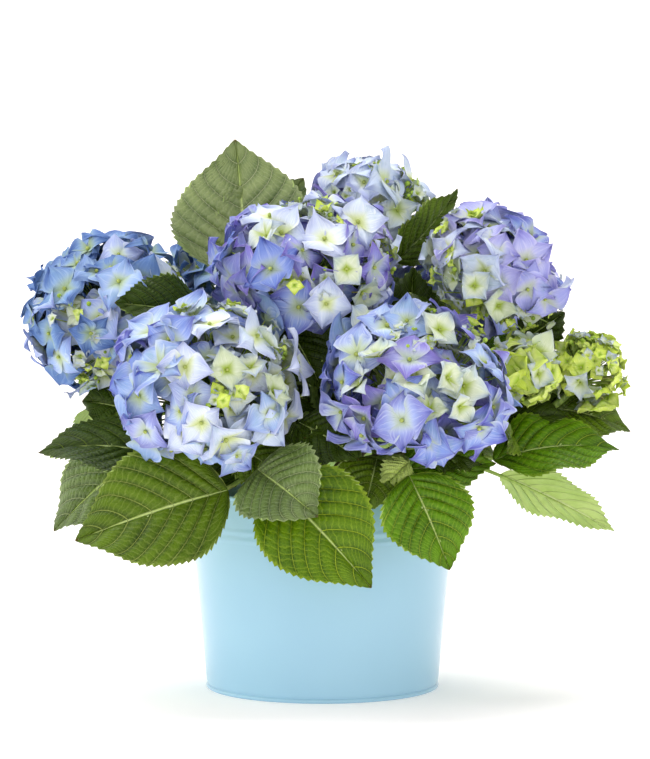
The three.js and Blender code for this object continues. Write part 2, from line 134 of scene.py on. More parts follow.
# The leaves that give the plant its outline: the shoot that bears each and where along its run, the blade's
# two ends, its width, the way that its upper face looks, its midrib's arch, and its tone.
LEAVES = [
    ("front_left", 0.34, (-62, -83, 143), (-162, -97, 111), 88, (-0.1, -0.95, 0.45), 6, "mid"),
    ("front_left", 0.38, (-43, -84, 157), (-3, -126, 130), 64, (-0.35, -0.75, 0.6), 4, "sheen_grey"),
    ("front_left", 0.5, (-96, -46, 159), (-190, -38, 163), 66, (0, -0.5, 0.87), 9, "deep"),
    ("left", 0.42, (-116, -8, 164), (-181, -20, 108), 66, (-0.45, -0.75, 0.5), 5, "sheen_grey"),
    ("left", 0.6, (-118, 0, 184), (-163, 4, 194), 50, (-0.2, -0.7, 0.6), 4, "deep"),
    ("left", 0.58, (-76, -6, 252), (-138, -47, 264), 46, (-0.35, -0.85, 0.4), 5, "deep"),
    ("upper_middle", 0.36, (-34, -90, 150), (32, -113, 82), 79, (0.1, -0.95, 0.3), 7, "fresh"),
    ("back_left", 0.7, (-54, 46, 276), (-60, 52, 370), 98, (-0.2, -0.95, -0.05), -7, "sheen_sage"),
    ("top_back", 0.62, (50, 46, 286), (93, 60, 336), 40, (0.65, -0.7, -0.2), 4, "mid"),
    ("front_right", 0.42, (57, -87, 153), (83, -108, 93), 62, (0.15, -0.97, 0.2), 6, "rich"),
    ("front_right", 0.36, (36, -66, 162), (27, -101, 130), 48, (0.1, -0.85, 0.45), 4, "mid"),
    ("upper_middle", 0.44, (-16, -62, 186), (24, -85, 163), 54, (0.1, -0.85, 0.5), 4, "deep"),
    ("right_young", 0.45, (114, -36, 158), (200, -18, 163), 64, (0.05, -0.55, 0.83), 8, "rich"),
    ("right_young", 0.38, (120, -20, 147), (198, -2, 106), 44, (0.35, 0.75, 0.55), 2, "pale"),
    ("right_bud", 0.6, (150, 12, 189), (210, 18, 172), 54, (0.1, -0.6, 0.8), 5, "mid"),
    ("right_bud", 0.45, (112, 0, 180), (166, -4, 184), 42, (0.1, -0.6, 0.8), 4, "deep"),
    ("upper_right", 0.6, (96, 10, 226), (150, 12, 222), 30, (0.1, -0.4, 0.9), 3, "fresh"),
]
# Small leaves that have no solid of their own, in the gaps between the heads: the same columns.
INNER_LEAVES = [
    ("back_left", 0.75, (-58, 60, 282), (-13, 66, 343), 74, (0.15, -0.95, 0), -4, "sheen_sage"),
    ("front_right", 0.45, (50, -44, 152), (116, -40, 156), 40, (0, -0.9, 0.45), 2, "rich"),
    ("upper_right", 0.7, (112, 6, 233), (158, 8, 226), 30, (0, -0.5, 0.85), 3, "rich"),
    ("back_right", 0.8, (136, 34, 232), (166, 36, 252), 34, (0.1, -0.95, 0.2), 2, "deep"),
    ("front_right", 0.5, (68, -44, 168), (110, -38, 154), 34, (0.1, -0.7, 0.7), 3, "deep"),
    ("front_right", 0.4, (57, -80, 161), (39, -86, 144), 24, (0.2, -0.9, 0.4), 2, "pale"),
    ("upper_middle", 0.6, (4, 14, 240), (30, 18, 276), 44, (0, -0.97, 0.2), 2, "deep"),
    ("upper_right", 0.5, (58, 22, 230), (62, 26, 284), 40, (0.1, -0.97, 0.1), 2, "deep"),
    ("front_left", 0.5, (-30, -28, 196), (-8, -40, 168), 36, (0.2, -0.9, 0.4), 2, "deep"),
    ("front_left", 0.4, (-58, -50, 170), (-20, -64, 146), 40, (0, -0.9, 0.45), 2, "mid"),
    ("upper_middle", 0.7, (-22, -30, 246), (0, -44, 206), 44, (0.1, -0.95, 0.3), 3, "deep"),
    ("front_right", 0.7, (26, -32, 244), (10, -46, 200), 40, (-0.1, -0.95, 0.3), 3, "deep"),
    ("front_left", 0.6, (-70, -30, 200), (-108, -20, 190), 40, (-0.1, -0.9, 0.4), 2, "deep"),
    ("front_left", 0.3, (-36, -34, 160), (-116, -28, 164), 54, (0, -0.9, 0.45), 3, "deep"),
    ("front_right", 0.5, (30, -30, 196), (14, -44, 170), 34, (-0.1, -0.9, 0.4), 2, "deep"),
]
# The leaves that a cane bears in pairs: their length and how much it varies, their width as a share of it,
# how they lift and then hang, and how many turns round the cane are tried for a place.
PAIR = {
    "length": 84, "spread": 22, "width_share": 0.68, "petiole": 20,
    "rise": 0.35, "sag": 0.5, "arch": 9, "turns": 9,
}
PAIR_TONES = ("deep", "mid", "deep", "sheen_grey", "mid", "deep")
# What a paired leaf stays clear of, and how far out and down it may reach.
ROOM = {"head": 1.08, "leaf": 7, "cane": 6, "rim": 99, "rim_top": 144, "side": 208, "low": 100, "front": -20}
# The young leaves between the heads, which stay within the middle of the plant.
YOUNG = {
    "along": (0.34, 0.46, 0.58, 0.7, 0.82), "turns": 5, "length": 56, "spread": 24, "head": 0.97,
    "half_width": 175, "half_depth": 120, "clear": 12, "over_rim": 4,
}


# ---------------------------------------------------------------- vectors and chance
def vec(xyz):
    return np.array(xyz, dtype=float)


def unit(xyz):
    xyz = vec(xyz)
    return xyz / np.linalg.norm(xyz, axis=-1, keepdims=True)


def seeded(seed):
    """Numbers from 0 to 1 in a fixed order, the same as the solids use."""
    state = seed
    while True:
        state = state * 16807 % 2147483647
        yield state / 2147483647


def swing(chance):
    """The next number, less a half."""
    return next(chance) - 0.5


def turned(vector, axis, angle):
    """vector turned about axis by the right-hand rule."""
    along = axis * np.dot(axis, vector)
    return along + (vector - along) * math.cos(angle) + np.cross(axis, vector) * math.sin(angle)


def smooth_step(low, high, value):
    share = np.clip((value - low) / (high - low), 0, 1)
    return share * share * (3 - 2 * share)


class Curve:
    """A Bezier curve of three or four points."""

    def __init__(self, *points):
        self.points = [vec(p) for p in points]

    def _lines(self, points, share):
        share = np.asarray(share, dtype=float)[..., None]
        rows = [np.broadcast_to(p, share.shape[:-1] + (3,)) for p in points]
        while len(rows) > 1:
            rows = [a + (b - a) * share for a, b in zip(rows, rows[1:])]
        return rows[0]

    def at(self, share):
        return self._lines(self.points, share)

    def heading(self, share):
        steps = [b - a for a, b in zip(self.points, self.points[1:])]
        return unit(self._lines(steps, share))


# ---------------------------------------------------------------- the plant's plan
def head_axis(shoot):
    return unit(shoot["facing"])


def cane_curve(shoot):
    bearing = math.radians(shoot["bearing"])
    outward = vec((math.cos(bearing), math.sin(bearing), 0))
    start = outward * CANE["start_out"] + vec((0, 0, SOIL_LEVEL + CANE["start_up"]))
    axis = head_axis(shoot)
    end = vec(shoot["centre"]) - axis * CANE["end"] * shoot["half"]
    reach = CANE["bend"] * np.linalg.norm(end - start)
    leave = unit(outward * CANE["splay"] + vec((0, 0, 1)))
    return Curve(start, start + leave * reach, end - axis * reach, end)


def blade_shape(share):
    """A blade's half width at a share of its length, as a share of its fullest."""
    inside = np.clip(share, 1e-6, 1 - 1e-6)
    return np.sin(np.pi * inside ** BLADE["broadest"]) ** BLADE["fullness"]


class Leaf:
    """One leaf: its midrib, the way its face looks, and the petiole that carries it."""

    def __init__(self, shoot, along, start, end, width, face, arch, tone):
        self.shoot, self.along, self.width, self.tone = shoot, along, width, tone
        self.start, self.end, self.face = vec(start), vec(end), unit(face)
        self.midrib = Curve(self.start, (self.start + self.end) / 2 + 2 * arch * self.face, self.end)
        self.length = np.linalg.norm(self.end - self.start)

    def place(self, share, across, above):
        """Points at shares of the midrib, so far across it and above it, in mm."""
        along = self.midrib.heading(share)
        side = unit(np.cross(np.broadcast_to(self.face, along.shape), along))
        up = np.cross(along, side)
        across, above = (np.asarray(far)[..., None] for far in (across, above))
        return self.midrib.at(share) + side * across + up * above

    def spots(self):
        share, k = np.meshgrid((0.05, 0.2, 0.35, 0.5, 0.65, 0.8, 1), (-1, -0.5, 0, 0.5, 1), indexing="ij")
        half = np.where(share < 1, 0.5 * self.width * blade_shape(share), 0)
        return self.place(share, k * half, BLADE["fold"] * abs(k) * half).reshape(-1, 3)

    def petiole(self, cane):
        root = cane.at(self.along)
        end = self.place(PETIOLE["meets"], 0, 0)
        reach = min(PETIOLE["pull"] * np.linalg.norm(end - root), PETIOLE["reach"])
        lift = root + (end - root) * PETIOLE["leave"] + vec((0, 0, PETIOLE["lift"] * reach))
        return Curve(root, lift, end - self.midrib.heading(0) * reach, end)


def inside_head(points, shoot, share):
    away = points - vec(shoot["centre"])
    along = away @ head_axis(shoot)
    out = np.linalg.norm(away - along[:, None] * head_axis(shoot), axis=1)
    return (along / shoot["half"]) ** 2 + (out / shoot["radius"]) ** 2 < share**2


def nearest(points, others):
    return np.linalg.norm(points[:, None] - others[None], axis=2).min()


def lies_clear(leaf, placed):
    spots = leaf.spots()
    x, y, z = spots.T
    round_rim = (np.hypot(x, y) < ROOM["rim"]) & (z < ROOM["rim_top"])
    outside = (z < ROOM["low"]) | (abs(x) > ROOM["side"]) | (y < ROOM["front"])
    if (round_rim | outside).any():
        return False
    if any(inside_head(spots, shoot, ROOM["head"]).any() for shoot in SHOOTS.values()):
        return False
    canes = [cane_curve(shoot).at(np.arange(25) / 24) for name, shoot in SHOOTS.items() if name != leaf.shoot]
    if nearest(spots, np.concatenate(canes)) < ROOM["cane"]:
        return False
    return all(nearest(spots, other.spots()) > ROOM["leaf"] for other in placed)


def paired_leaf(name, along, turn, length, tone):
    """A leaf square to its cane at the given turn, which lifts a little and then hangs."""
    curve = cane_curve(SHOOTS[name])
    cane = curve.heading(along)
    across = turned(unit(np.cross((0, 0, 1), cane)), cane, turn)
    heading = unit(across + cane * PAIR["rise"])
    start = curve.at(along) + heading * PAIR["petiole"]
    end = start + heading * length - vec((0, 0, PAIR["sag"] * length))
    face = np.cross(np.cross(heading, cane), end - start)
    width = PAIR["width_share"] * np.linalg.norm(end - start)
    return Leaf(name, along, start, end, width, face, PAIR["arch"], tone)


def all_leaves():
    chance = seeded(SEED)
    placed = [Leaf(*row) for row in LEAVES]
    for name, shoot in SHOOTS.items():
        for along in shoot["pairs"]:
            start = next(chance) * math.pi
            length = PAIR["length"] + PAIR["spread"] * swing(chance)
            for facing in (0, math.pi):
                tone = PAIR_TONES[len(placed) % len(PAIR_TONES)]
                for i in range(PAIR["turns"]):
                    way = -1 if i % 2 else 1
                    turn = start + facing + way * math.ceil(i / 2) * math.pi / PAIR["turns"]
                    leaf = paired_leaf(name, along, turn, length, tone)
                    if lies_clear(leaf, placed):
                        placed.append(leaf)
                        break
    return placed


# ---------------------------------------------------------------- meshes from arrays
class Sheaf:
    """Gathers many small quad meshes into one, with their materials, map and shades."""

    def __init__(self):
        self.points, self.quads, self.slots, self.maps, self.shades = [], [], [], [], []
        self.count = 0

    def add(self, points, quads, slot, uv, shade):
        """uv holds a place for each point, shade one number for all, and slot one number or one a quad."""
        self.points.append(points)
        self.quads.append(quads + self.count)
        self.slots.append(np.broadcast_to(slot, len(quads)))
        self.maps.append(uv[quads].reshape(-1, 2))
        self.shades.append(np.broadcast_to(shade, len(points)))
        self.count += len(points)

    def build(self, name, materials, sharp_angle=None):
        points = np.concatenate(self.points) * MM
        quads = np.concatenate(self.quads)
        mesh = bpy.data.meshes.new(name)
        mesh.vertices.add(len(points))
        mesh.vertices.foreach_set("co", points.ravel())
        mesh.loops.add(quads.size)
        mesh.loops.foreach_set("vertex_index", quads.ravel().astype(np.int32))
        mesh.polygons.add(len(quads))
        mesh.polygons.foreach_set("loop_start", np.arange(0, quads.size, 4, dtype=np.int32))
        mesh.polygons.foreach_set("material_index", np.concatenate(self.slots).astype(np.int32))
        mesh.uv_layers.new(name="surface").data.foreach_set("uv", np.concatenate(self.maps).ravel())
        shade = mesh.attributes.new("shade", "FLOAT", "POINT")
        shade.data.foreach_set("value", np.concatenate(self.shades).astype(np.float32))
        for material in materials:
            mesh.materials.append(material)
        mesh.validate()
        piece = bpy.data.objects.new(name, mesh)
        bpy.context.scene.collection.objects.link(piece)
        only(piece)
        bpy.ops.object.shade_smooth()
        if sharp_angle:
            bpy.ops.object.shade_smooth_by_angle(angle=math.radians(sharp_angle))
        return piece


def grid_quads(rows, columns):
    """The quads of a grid with this many steps each way."""
    first = np.arange(rows)[:, None] * (columns + 1) + np.arange(columns)[None]
    first = first.reshape(-1, 1)
    return np.hstack([first, first + 1, first + columns + 2, first + columns + 1])


NEARLY_UP = (0.02, 0.05, 1.0)  # a way that no stalk runs along exactly


def tube_along(path, radii, sides):
    """A closed tube through these points: its points, quads and map."""
    along = unit(np.gradient(path, axis=0))
    level = unit(np.cross(np.broadcast_to(NEARLY_UP, along.shape), along))
    rise = np.cross(along, level)
    angle = np.arange(sides) / sides * 2 * np.pi
    ring = np.cos(angle)[None, :, None] * level[:, None] + np.sin(angle)[None, :, None] * rise[:, None]
    points = (path[:, None] + ring * np.asarray(radii)[:, None, None]).reshape(-1, 3)
    steps = len(path) - 1
    row, side = np.meshgrid(np.arange(steps), np.arange(sides), indexing="ij")
    first, second = row * sides + side, row * sides + (side + 1) % sides
    quads = np.stack([first, second, second + sides, first + sides], axis=-1).reshape(-1, 4)
    uv = np.stack(np.meshgrid(np.linspace(0, 1, steps + 1), angle / (2 * np.pi), indexing="ij"), axis=-1)
    last = steps * sides
    caps = [[3, 2, 1, 0], [last, last + 1, last + 2, last + 3]]
    if sides == 6:
        caps += [[5, 4, 3, 0], [last, last + 3, last + 4, last + 5]]
    return points, np.concatenate([quads, caps]), uv.reshape(-1, 2)


def ball():
    """A round bead of a few quads, of radius 1."""
    bead = bmesh.new()
    bmesh.ops.create_cube(bead, size=2)
    bmesh.ops.subdivide_edges(bead, edges=bead.edges[:], cuts=1, use_grid_fill=True)
    points = unit([v.co[:] for v in bead.verts])
    quads = np.array([[v.index for v in f.verts] for f in bead.faces])
    bead.free()
    return points, quads, points[:, :2] * 0.5 + 0.5


# ---------------------------------------------------------------- Blender's tools
def only(*pieces):
    """Selects these objects and nothing else."""
    if bpy.context.object and bpy.context.object.mode != "OBJECT":
        bpy.ops.object.mode_set(mode="OBJECT")
    bpy.ops.object.select_all(action="DESELECT")
    for piece in pieces:
        piece.select_set(True)
    bpy.context.view_layer.objects.active = pieces[-1] if pieces else None


def drawn_up(name, profile, sides, smooth):
    """A round piece drawn up through (radius, height) places, shaded smooth up to an angle."""
    radius, height = profile[0]
    only()
    place = (0, 0, height)
    bpy.ops.mesh.primitive_circle_add(vertices=sides, radius=radius, fill_type="NGON", location=place)
    piece = bpy.context.object
    piece.name = piece.data.name = name
    bpy.ops.object.transform_apply(location=True)
    bpy.ops.object.mode_set(mode="EDIT")
    bpy.ops.mesh.select_all(action="SELECT")
    for (radius, height), (next_radius, next_height) in zip(profile, profile[1:]):
        bpy.ops.mesh.extrude_region_move(TRANSFORM_OT_translate={"value": (0, 0, next_height - height)})
        scale = next_radius / radius
        bpy.ops.transform.resize(value=(scale, scale, 1), center_override=(0, 0, next_height))
    bpy.ops.mesh.select_all(action="SELECT")
    bpy.ops.mesh.normals_make_consistent(inside=False)
    bpy.ops.object.mode_set(mode="OBJECT")
    bpy.ops.object.shade_smooth_by_angle(angle=math.radians(smooth))
    return piece


def apply_modifier(piece, kind, **settings):
    only(piece)
    modifier = piece.modifiers.new(kind.title(), kind)
    for key, value in settings.items():
        setattr(modifier, key, value)
    bpy.ops.object.modifier_apply(modifier=modifier.name)


def roughened(piece, name, size, depth, middle, group=""):
    """Pushes a piece's surface in and out by cloudy lumps of this size."""
    lumps = bpy.data.textures.new(name, "CLOUDS")
    lumps.noise_scale = size
    apply_modifier(piece, "DISPLACE", texture=lumps, strength=depth, mid_level=middle, vertex_group=group)


def placed_on_root(piece, slot, *nodes):
    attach(piece, "root")
    if nodes:
        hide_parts(*nodes)


# ---------------------------------------------------------------- materials
def linear(colour):
    """The shader's colour for a hex colour such as "7f92d6"."""
    parts = [int(colour[i : i + 2], 16) / 255 for i in (0, 2, 4)]
    return tuple(p / 12.92 if p < 0.04045 else ((p + 0.055) / 1.055) ** 2.4 for p in parts) + (1.0,)


class Socket:
    """A socket in a material: arithmetic on it adds Math nodes."""

    def __init__(self, finish, socket):
        self.finish, self.socket = finish, socket

    def math(self, operation, *values):
        return self.finish.node("ShaderNodeMath", {"operation": operation}, dict(enumerate(values)))["Value"]

    def __add__(self, other):
        return self.math("ADD", self, other)

    def __sub__(self, other):
        return self.math("SUBTRACT", self, other)

    def __rsub__(self, other):
        return self.math("SUBTRACT", other, self)

    def __mul__(self, other):
        return self.math("MULTIPLY", self, other)

    def __abs__(self):
        return self.math("ABSOLUTE", self)

    __radd__, __rmul__ = __add__, __mul__

    def fraction(self):
        return self.math("FRACT", self)

    def least(self, other):
        return self.math("MINIMUM", self, other)

    def rise(self, low, high):
        """0 below low, 1 above high, and smooth between."""
        reach = {"Value": self, "From Min": low, "From Max": high}
        return self.finish.node("ShaderNodeMapRange", {"interpolation_type": "SMOOTHSTEP"}, reach)["Result"]


class Nodes:
    """A node tree, and the one way that nodes are added to it."""

    def __init__(self, tree):
        self.tree = tree

    def node(self, kind, settings=None, values=None):
        """Adds a node with its settings, fills its sockets, and gives its outputs by name."""
        made = self.tree.nodes.new(kind)
        for key, value in (settings or {}).items():
            setattr(made, key, value)
        for key, value in (values or {}).items():
            self.fill(made.inputs[key] if isinstance(key, int) else self.named(made.inputs, key), value)
        return {output.identifier: Socket(self, output) for output in made.outputs} | {
            output.name: Socket(self, output) for output in made.outputs if output.enabled
        }

    @staticmethod
    def named(sockets, key):
        return next(s for s in sockets if key in (s.identifier, s.name) and s.enabled)

    def fill(self, target, value):
        if isinstance(value, Socket):
            self.tree.links.new(value.socket, target)
        else:
            target.default_value = value

    def mix(self, share, first, second, blend="MIX"):
        """One colour over another, each a hex colour or a socket."""
        first, second = (linear(c) if isinstance(c, str) else c for c in (first, second))
        settings = {"data_type": "RGBA", "blend_type": blend, "clamp_factor": True}
        values = {"Factor_Float": share, "A_Color": first, "B_Color": second}
        return self.node("ShaderNodeMix", settings, values)["Result_Color"]


class Finish(Nodes):
    """One material, and the nodes that make it."""

    def __init__(self, name, **surface):
        self.material = bpy.data.materials.new(name)
        self.material.use_nodes = True
        super().__init__(self.material.node_tree)
        self.surface = self.tree.nodes["Principled BSDF"]
        for key, value in surface.items():
            self.surface.inputs[key.replace("_", " ")].default_value = value

    def places(self):
        return self.node("ShaderNodeTexCoord")["Object"]

    def noise(self, scale, detail=3, vector=None):
        """Cloudy numbers about a half; scale is how many clouds to a metre."""
        values = {"Vector": vector or self.places(), "Scale": scale, "Detail": detail, "Roughness": 0.55}
        return self.node("ShaderNodeTexNoise", {}, values)["Fac"]

    def stretched(self, place, squash):
        """Places drawn out upwards, for streaks and strips."""
        return self.node("ShaderNodeMapping", {}, {"Vector": place, "Scale": (1, 1, squash)})["Vector"]

    def surface_map(self):
        """The piece's own map, as two numbers."""
        found = self.node("ShaderNodeUVMap", {"uv_map": "surface"})["UV"]
        split = self.node("ShaderNodeSeparateXYZ", {}, {"Vector": found})
        return split["X"], split["Y"]

    def shade(self):
        return self.node("ShaderNodeAttribute", {"attribute_name": "shade"})["Fac"]

    def wire(self, **values):
        for key, value in values.items():
            self.fill(self.surface.inputs[key.replace("_", " ")], value)

    def relief(self, height, distance, strength=1.0):
        values = {"Height": height, "Distance": distance, "Strength": strength}
        self.wire(Normal=self.node("ShaderNodeBump", {}, values)["Normal"])


def pot_paint():
    """Smooth gloss paint on pressed steel, with the faintest unevenness."""
    finish = Finish("pot_paint", Coat_Weight=0.4, Coat_Roughness=0.05, Specular_IOR_Level=0.18)
    cloud = finish.noise(9, 2)
    finish.wire(
        Base_Color=finish.mix(cloud.rise(0.3, 0.7), "9cc6dd", "a2cce1"),
        Roughness=0.26 + finish.noise(120, 3) * 0.06,
    )
    finish.relief(finish.noise(700, 2), 0.06 * MM, 0.35)
    return finish.material


def potting_soil():
    finish = Finish("potting_soil", Specular_IOR_Level=0.2)
    crumbs = finish.node("ShaderNodeTexVoronoi", {}, {"Vector": finish.places(), "Scale": 420})["Distance"]
    grain = finish.noise(160, 6)
    dark = finish.mix(grain.rise(0.35, 0.7), "1c1511", "43342a")
    earth = finish.mix(crumbs.rise(0.5, 0.75) * 0.5, dark, "6a5644")
    finish.wire(Base_Color=earth, Roughness=0.85 + grain * 0.15)
    finish.relief(grain + crumbs * -0.6, 1.5 * MM)
    return finish.material


def crown_bark():
    finish = Finish("crown_bark", Specular_IOR_Level=0.25)
    strips = finish.noise(420, 5, finish.stretched(finish.places(), 0.22))
    bark = finish.mix(strips.rise(0.35, 0.65), "4a3828", "93795a")
    finish.wire(Base_Color=bark, Roughness=0.8 + strips * 0.15)
    finish.relief(strips, 1.2 * MM)
    return finish.material


def cane_skin():
    """Green stem with lengthwise streaks and reddish flecks, browner towards the foot."""
    finish = Finish("cane_skin", Specular_IOR_Level=0.4)
    place = finish.places()
    height = finish.node("ShaderNodeSeparateXYZ", {}, {"Vector": place})["Z"]
    streak = finish.noise(700, 3, finish.stretched(place, 0.15))
    green = finish.mix(streak.rise(0.35, 0.65), "5f7a33", "8fa850")
    fleck = finish.noise(900, 2).rise(0.62, 0.7)
    flecked = finish.mix(fleck * 0.6, green, "7a4a3c")
    brown_up_to, green_from = 150 * MM, 178 * MM
    woody = 1 - height.rise(brown_up_to, green_from)
    finish.wire(Base_Color=finish.mix(woody, flecked, "6f6040"), Roughness=0.45 + streak * 0.2)
    finish.relief(streak, 0.3 * MM)
    return finish.material


def leaf_finish(tone, lamina, dark, vein):
    """The upper face of a leaf: quilted lamina netted with paler veins, after the blade's own map."""
    # Grey and sage leaves also carry painted sheen in their colours, on top of this stronger real gloss.
    finish = Finish(f"leaf_{tone}", Specular_IOR_Level=0.55 if tone in ("sheen_grey", "sheen_sage") else 0.22)
    across, along = finish.surface_map()
    off_rib = abs(across - 0.5) * 2
    ribs = along.fraction()
    off_side_vein = ribs.least(1 - ribs)
    rib = 1 - off_rib.rise(0.005, 0.032)
    side_vein = (1 - off_side_vein.rise(0.01, 0.045)) * (1 - off_rib.rise(0.8, 1.0) * 0.7)
    wobble = finish.noise(140, 2) * 1.6 + (along - ribs) * 0.37
    rungs = (off_rib * 12 + ribs * 1.6 + wobble).fraction()
    off_rung = rungs.least(1 - rungs)
    net_values = {"Vector": finish.places(), "Scale": 420.0}
    net = finish.node("ShaderNodeTexVoronoi", {"feature": "DISTANCE_TO_EDGE"}, net_values)["Distance"]
    fine_vein = (1 - off_rung.rise(0.03, 0.16)) * 0.22 + (1 - net.rise(0.0, 0.12)) * 0.1
    cloud = finish.noise(45, 4)
    # Darker towards each side vein: painted shade in the grooves of the quilting, mixed with cloudy darker
    # patches.
    between = (cloud.rise(0.3, 0.7) * 0.6 + off_side_vein.rise(0.0, 0.35) * 0.5).least(1)
    body = finish.mix(between, dark, lamina)
    body = finish.mix(fine_vein, body, vein)
    body = finish.mix((side_vein * 0.9 + off_rib.rise(0.9, 1.0) * 0.35).least(1), body, vein)
    body = finish.mix(rib, body, "c6d886")
    body = finish.mix(along.rise(VEINS - BROWN_TIP, VEINS) * 0.7, body, "7a5c2a")
    finish.wire(Base_Color=body, Roughness=0.3 + cloud * 0.16)
    height = off_rung.rise(0.0, 0.45) * 0.13 + net.rise(0.0, 0.4) * 0.13 - side_vein * 0.5 - rib * 0.4
    finish.relief(height, 1.2 * MM)
    return finish.material


def leaf_underside():
    finish = Finish("leaf_underside", Specular_IOR_Level=0.3)
    across, along = finish.surface_map()
    off_rib = abs(across - 0.5) * 2
    ribs = along.fraction()
    rib = 1 - off_rib.rise(0.02, 0.07)
    side_vein = 1 - ribs.least(1 - ribs).rise(0.02, 0.08)
    cloud = finish.noise(60, 4)
    body = finish.mix(cloud.rise(0.3, 0.7), "a2bc62", "b8cd7c")
    body = finish.mix(side_vein * 0.5, body, "c4d48a")
    finish.wire(Base_Color=finish.mix(rib * 0.9, body, "d0dca0"), Roughness=0.7 + cloud * 0.15)
    finish.relief(side_vein + rib, 0.6 * MM)
    return finish.material


def petiole_skin():
    finish = Finish("petiole_skin", Specular_IOR_Level=0.4)
    streak = finish.noise(260, 3)
    blush = finish.noise(28, 2).rise(0.55, 0.7)
    green = finish.mix(streak.rise(0.3, 0.7), "84a044", "a9c065")
    finish.wire(Base_Color=finish.mix(blush * 0.45, green, "8a5a45"), Roughness=0.5 + streak * 0.15)
    finish.relief(streak, 0.2 * MM)
    return finish.material


def petal_finish(tone, body, outer, rim, eye):
    """A petal: greenish at the eye, then pale, deepest further out, veined with pale streaks partly painted
    highlight, with a thin light rim.
    """
    finish = Finish(f"petal_{tone}", Specular_IOR_Level=0.25)
    along, across = finish.surface_map()
    off_middle = abs(across - 0.5) * 2
    edge = (along.rise(0.93, 1.0) + off_middle.rise(0.84, 1.0)).least(1)
    cloud = finish.noise(60, 3)
    shade = finish.shade()
    fan = {"X": across * 22, "Y": along * 1.5, "Z": shade * 60}
    veins = finish.noise(1.0, 2, finish.node("ShaderNodeCombineXYZ", {}, fan)["Vector"])
    cool = finish.noise(75, 2).rise(0.5, 0.7)
    flush = (along * 0.7 + off_middle * 0.35 + cloud * 0.5 + (shade - 0.5) * 0.5).rise(0.55, 1.1)
    colour = finish.mix(cool * 0.4, body, "8fb0b8")
    colour = finish.mix(flush * 0.9, colour, outer)
    # Pale vein streaks, fading towards the tip: partly the petal's veins, partly painted highlight along its
    # folds.
    colour = finish.mix(veins.rise(0.45, 0.72) * (1 - along.rise(0.4, 1.0) * 0.6) * 0.5, colour, rim)
    colour = finish.mix((1 - along.rise(0.1, 0.62)) * 0.6, colour, rim)
    colour = finish.mix(1 - along.rise(0.05, 0.42), colour, eye)
    colour = finish.mix(edge * 0.4, colour, rim)
    colour = finish.mix(shade.rise(0.65, 1.0) * 0.25, colour, rim)
    colour = finish.mix((1 - shade.rise(0.0, 0.35)) * 0.4, colour, finish.mix(1.0, colour, body, "MULTIPLY"))
    finish.wire(Base_Color=colour, Roughness=0.55 + cloud * 0.15)
    finish.relief(veins + cloud * 0.6, 0.7 * MM, 0.9)
    return finish.material


def bead_finish(tone, light, dark):
    finish = Finish(f"bead_{tone}", Specular_IOR_Level=0.35)
    cloud = finish.noise(500, 2)
    finish.wire(Base_Color=finish.mix(cloud.rise(0.3, 0.7), dark, light), Roughness=0.5 + cloud * 0.2)
    return finish.material


LEAF_TONES = {  # lamina, its darker patches and painted groove shade beside the side veins, its veins
    "deep": ("344a00", "1a2a00", "667c26"),
    "mid": ("567202", "2a4000", "98a850"),
    "rich": ("5a8800", "305200", "a6c03c"),
    "fresh": ("5a7c00", "305000", "a8c030"),
    "pale": ("b4c866", "98b04c", "dce6a4"),
    # The grey and sage tones paint sheen into a leaf's colour: the grey of light glancing off its upper face.
    "sheen_grey": ("627a30", "3a4e10", "b0c084"),
    "sheen_sage": ("8a9a58", "526828", "b4be88"),
}
PETAL_TONES = {  # body, outer part, rim, eye
    "periwinkle": ("8299da", "6664c0", "ccd6f0", "b2c29c"),
    "violet": ("9195da", "7866c4", "cacaee", "b6c6b0"),
    "lilac": ("b2b6ea", "9490d8", "dcdaf4", "d0dab8"),
    "sky": ("a2bce6", "8896da", "dfe9f6", "c4d49e"),
    "denim": ("6c8fc4", "5270b4", "aac4e2", "a4ba90"),
    "ice": ("d6e2f4", "b2bce8", "f2f6fc", "dbe69c"),
    "cream": ("d6e0c0", "bccce4", "f0f4e6", "aec444"),
    "lime": ("e2f266", "cce646", "f4fab8", "acce2c"),
}
HEAD_TONES = {  # the petals' tones on a flower head, the oldest florets' first
    "denim": ("denim", "sky", "ice", "cream"),
    "sky": ("periwinkle", "sky", "ice", "cream"),
    "periwinkle": ("periwinkle", "violet", "ice", "cream"),
    "violet": ("periwinkle", "violet", "sky", "cream"),
    "lilac": ("periwinkle", "lilac", "ice", "cream"),
    "pale": ("lilac", "ice", "ice", "cream"),
    "cream": ("cream", "cream", "lime", "lime"),
    "bud": ("ice", "cream", "lime", "lime"),
}


# ---------------------------------------------------------------- leaves
VEINS = 8  # side veins on each half of a blade
SWEEP = 3.2  # how strongly the side veins sweep towards the tip
CROWDING = 2.1  # how much closer together they leave the midrib near the foot
BROWN_TIP = 0.22  # how far the brown tip reaches, in side veins
# A blade's teeth: how far apart and how deep, in mm, how narrow the margin that they take up, and the rows of
# points along a tooth with how far it has risen there.
TOOTH = {
    "fewest": 10, "spacing": 4.3, "depth": 2.3, "margin": 14, "rows": (0, 0.5, 0.88), "rise": (0, 0.55, 1),
}
COLUMNS = 20
# How a blade stands out of its fold, in mm: its quilting, the groove over its midrib and half that groove's
# width, its wavy margin, its droop at most, its twist for each mm across it, and its thickness.
RELIEF = {
    "quilt": 2.1, "groove": 0.8, "groove_half": 1.6, "wave": 1.8, "droop": 6, "twist": 0.14, "thick": 0.45,
}
# A leaf's stalk, in mm: how thick it is and how much it slims, how far below the blade it runs, and how thick
# it ends; with its steps, those under the blade, and where along the blade it ends.
STALK = {"steps": 10, "thick": 2.2, "slims_by": 0.9, "below": 1.1, "tip": 0.25, "ends": 0.92, "under": 12}


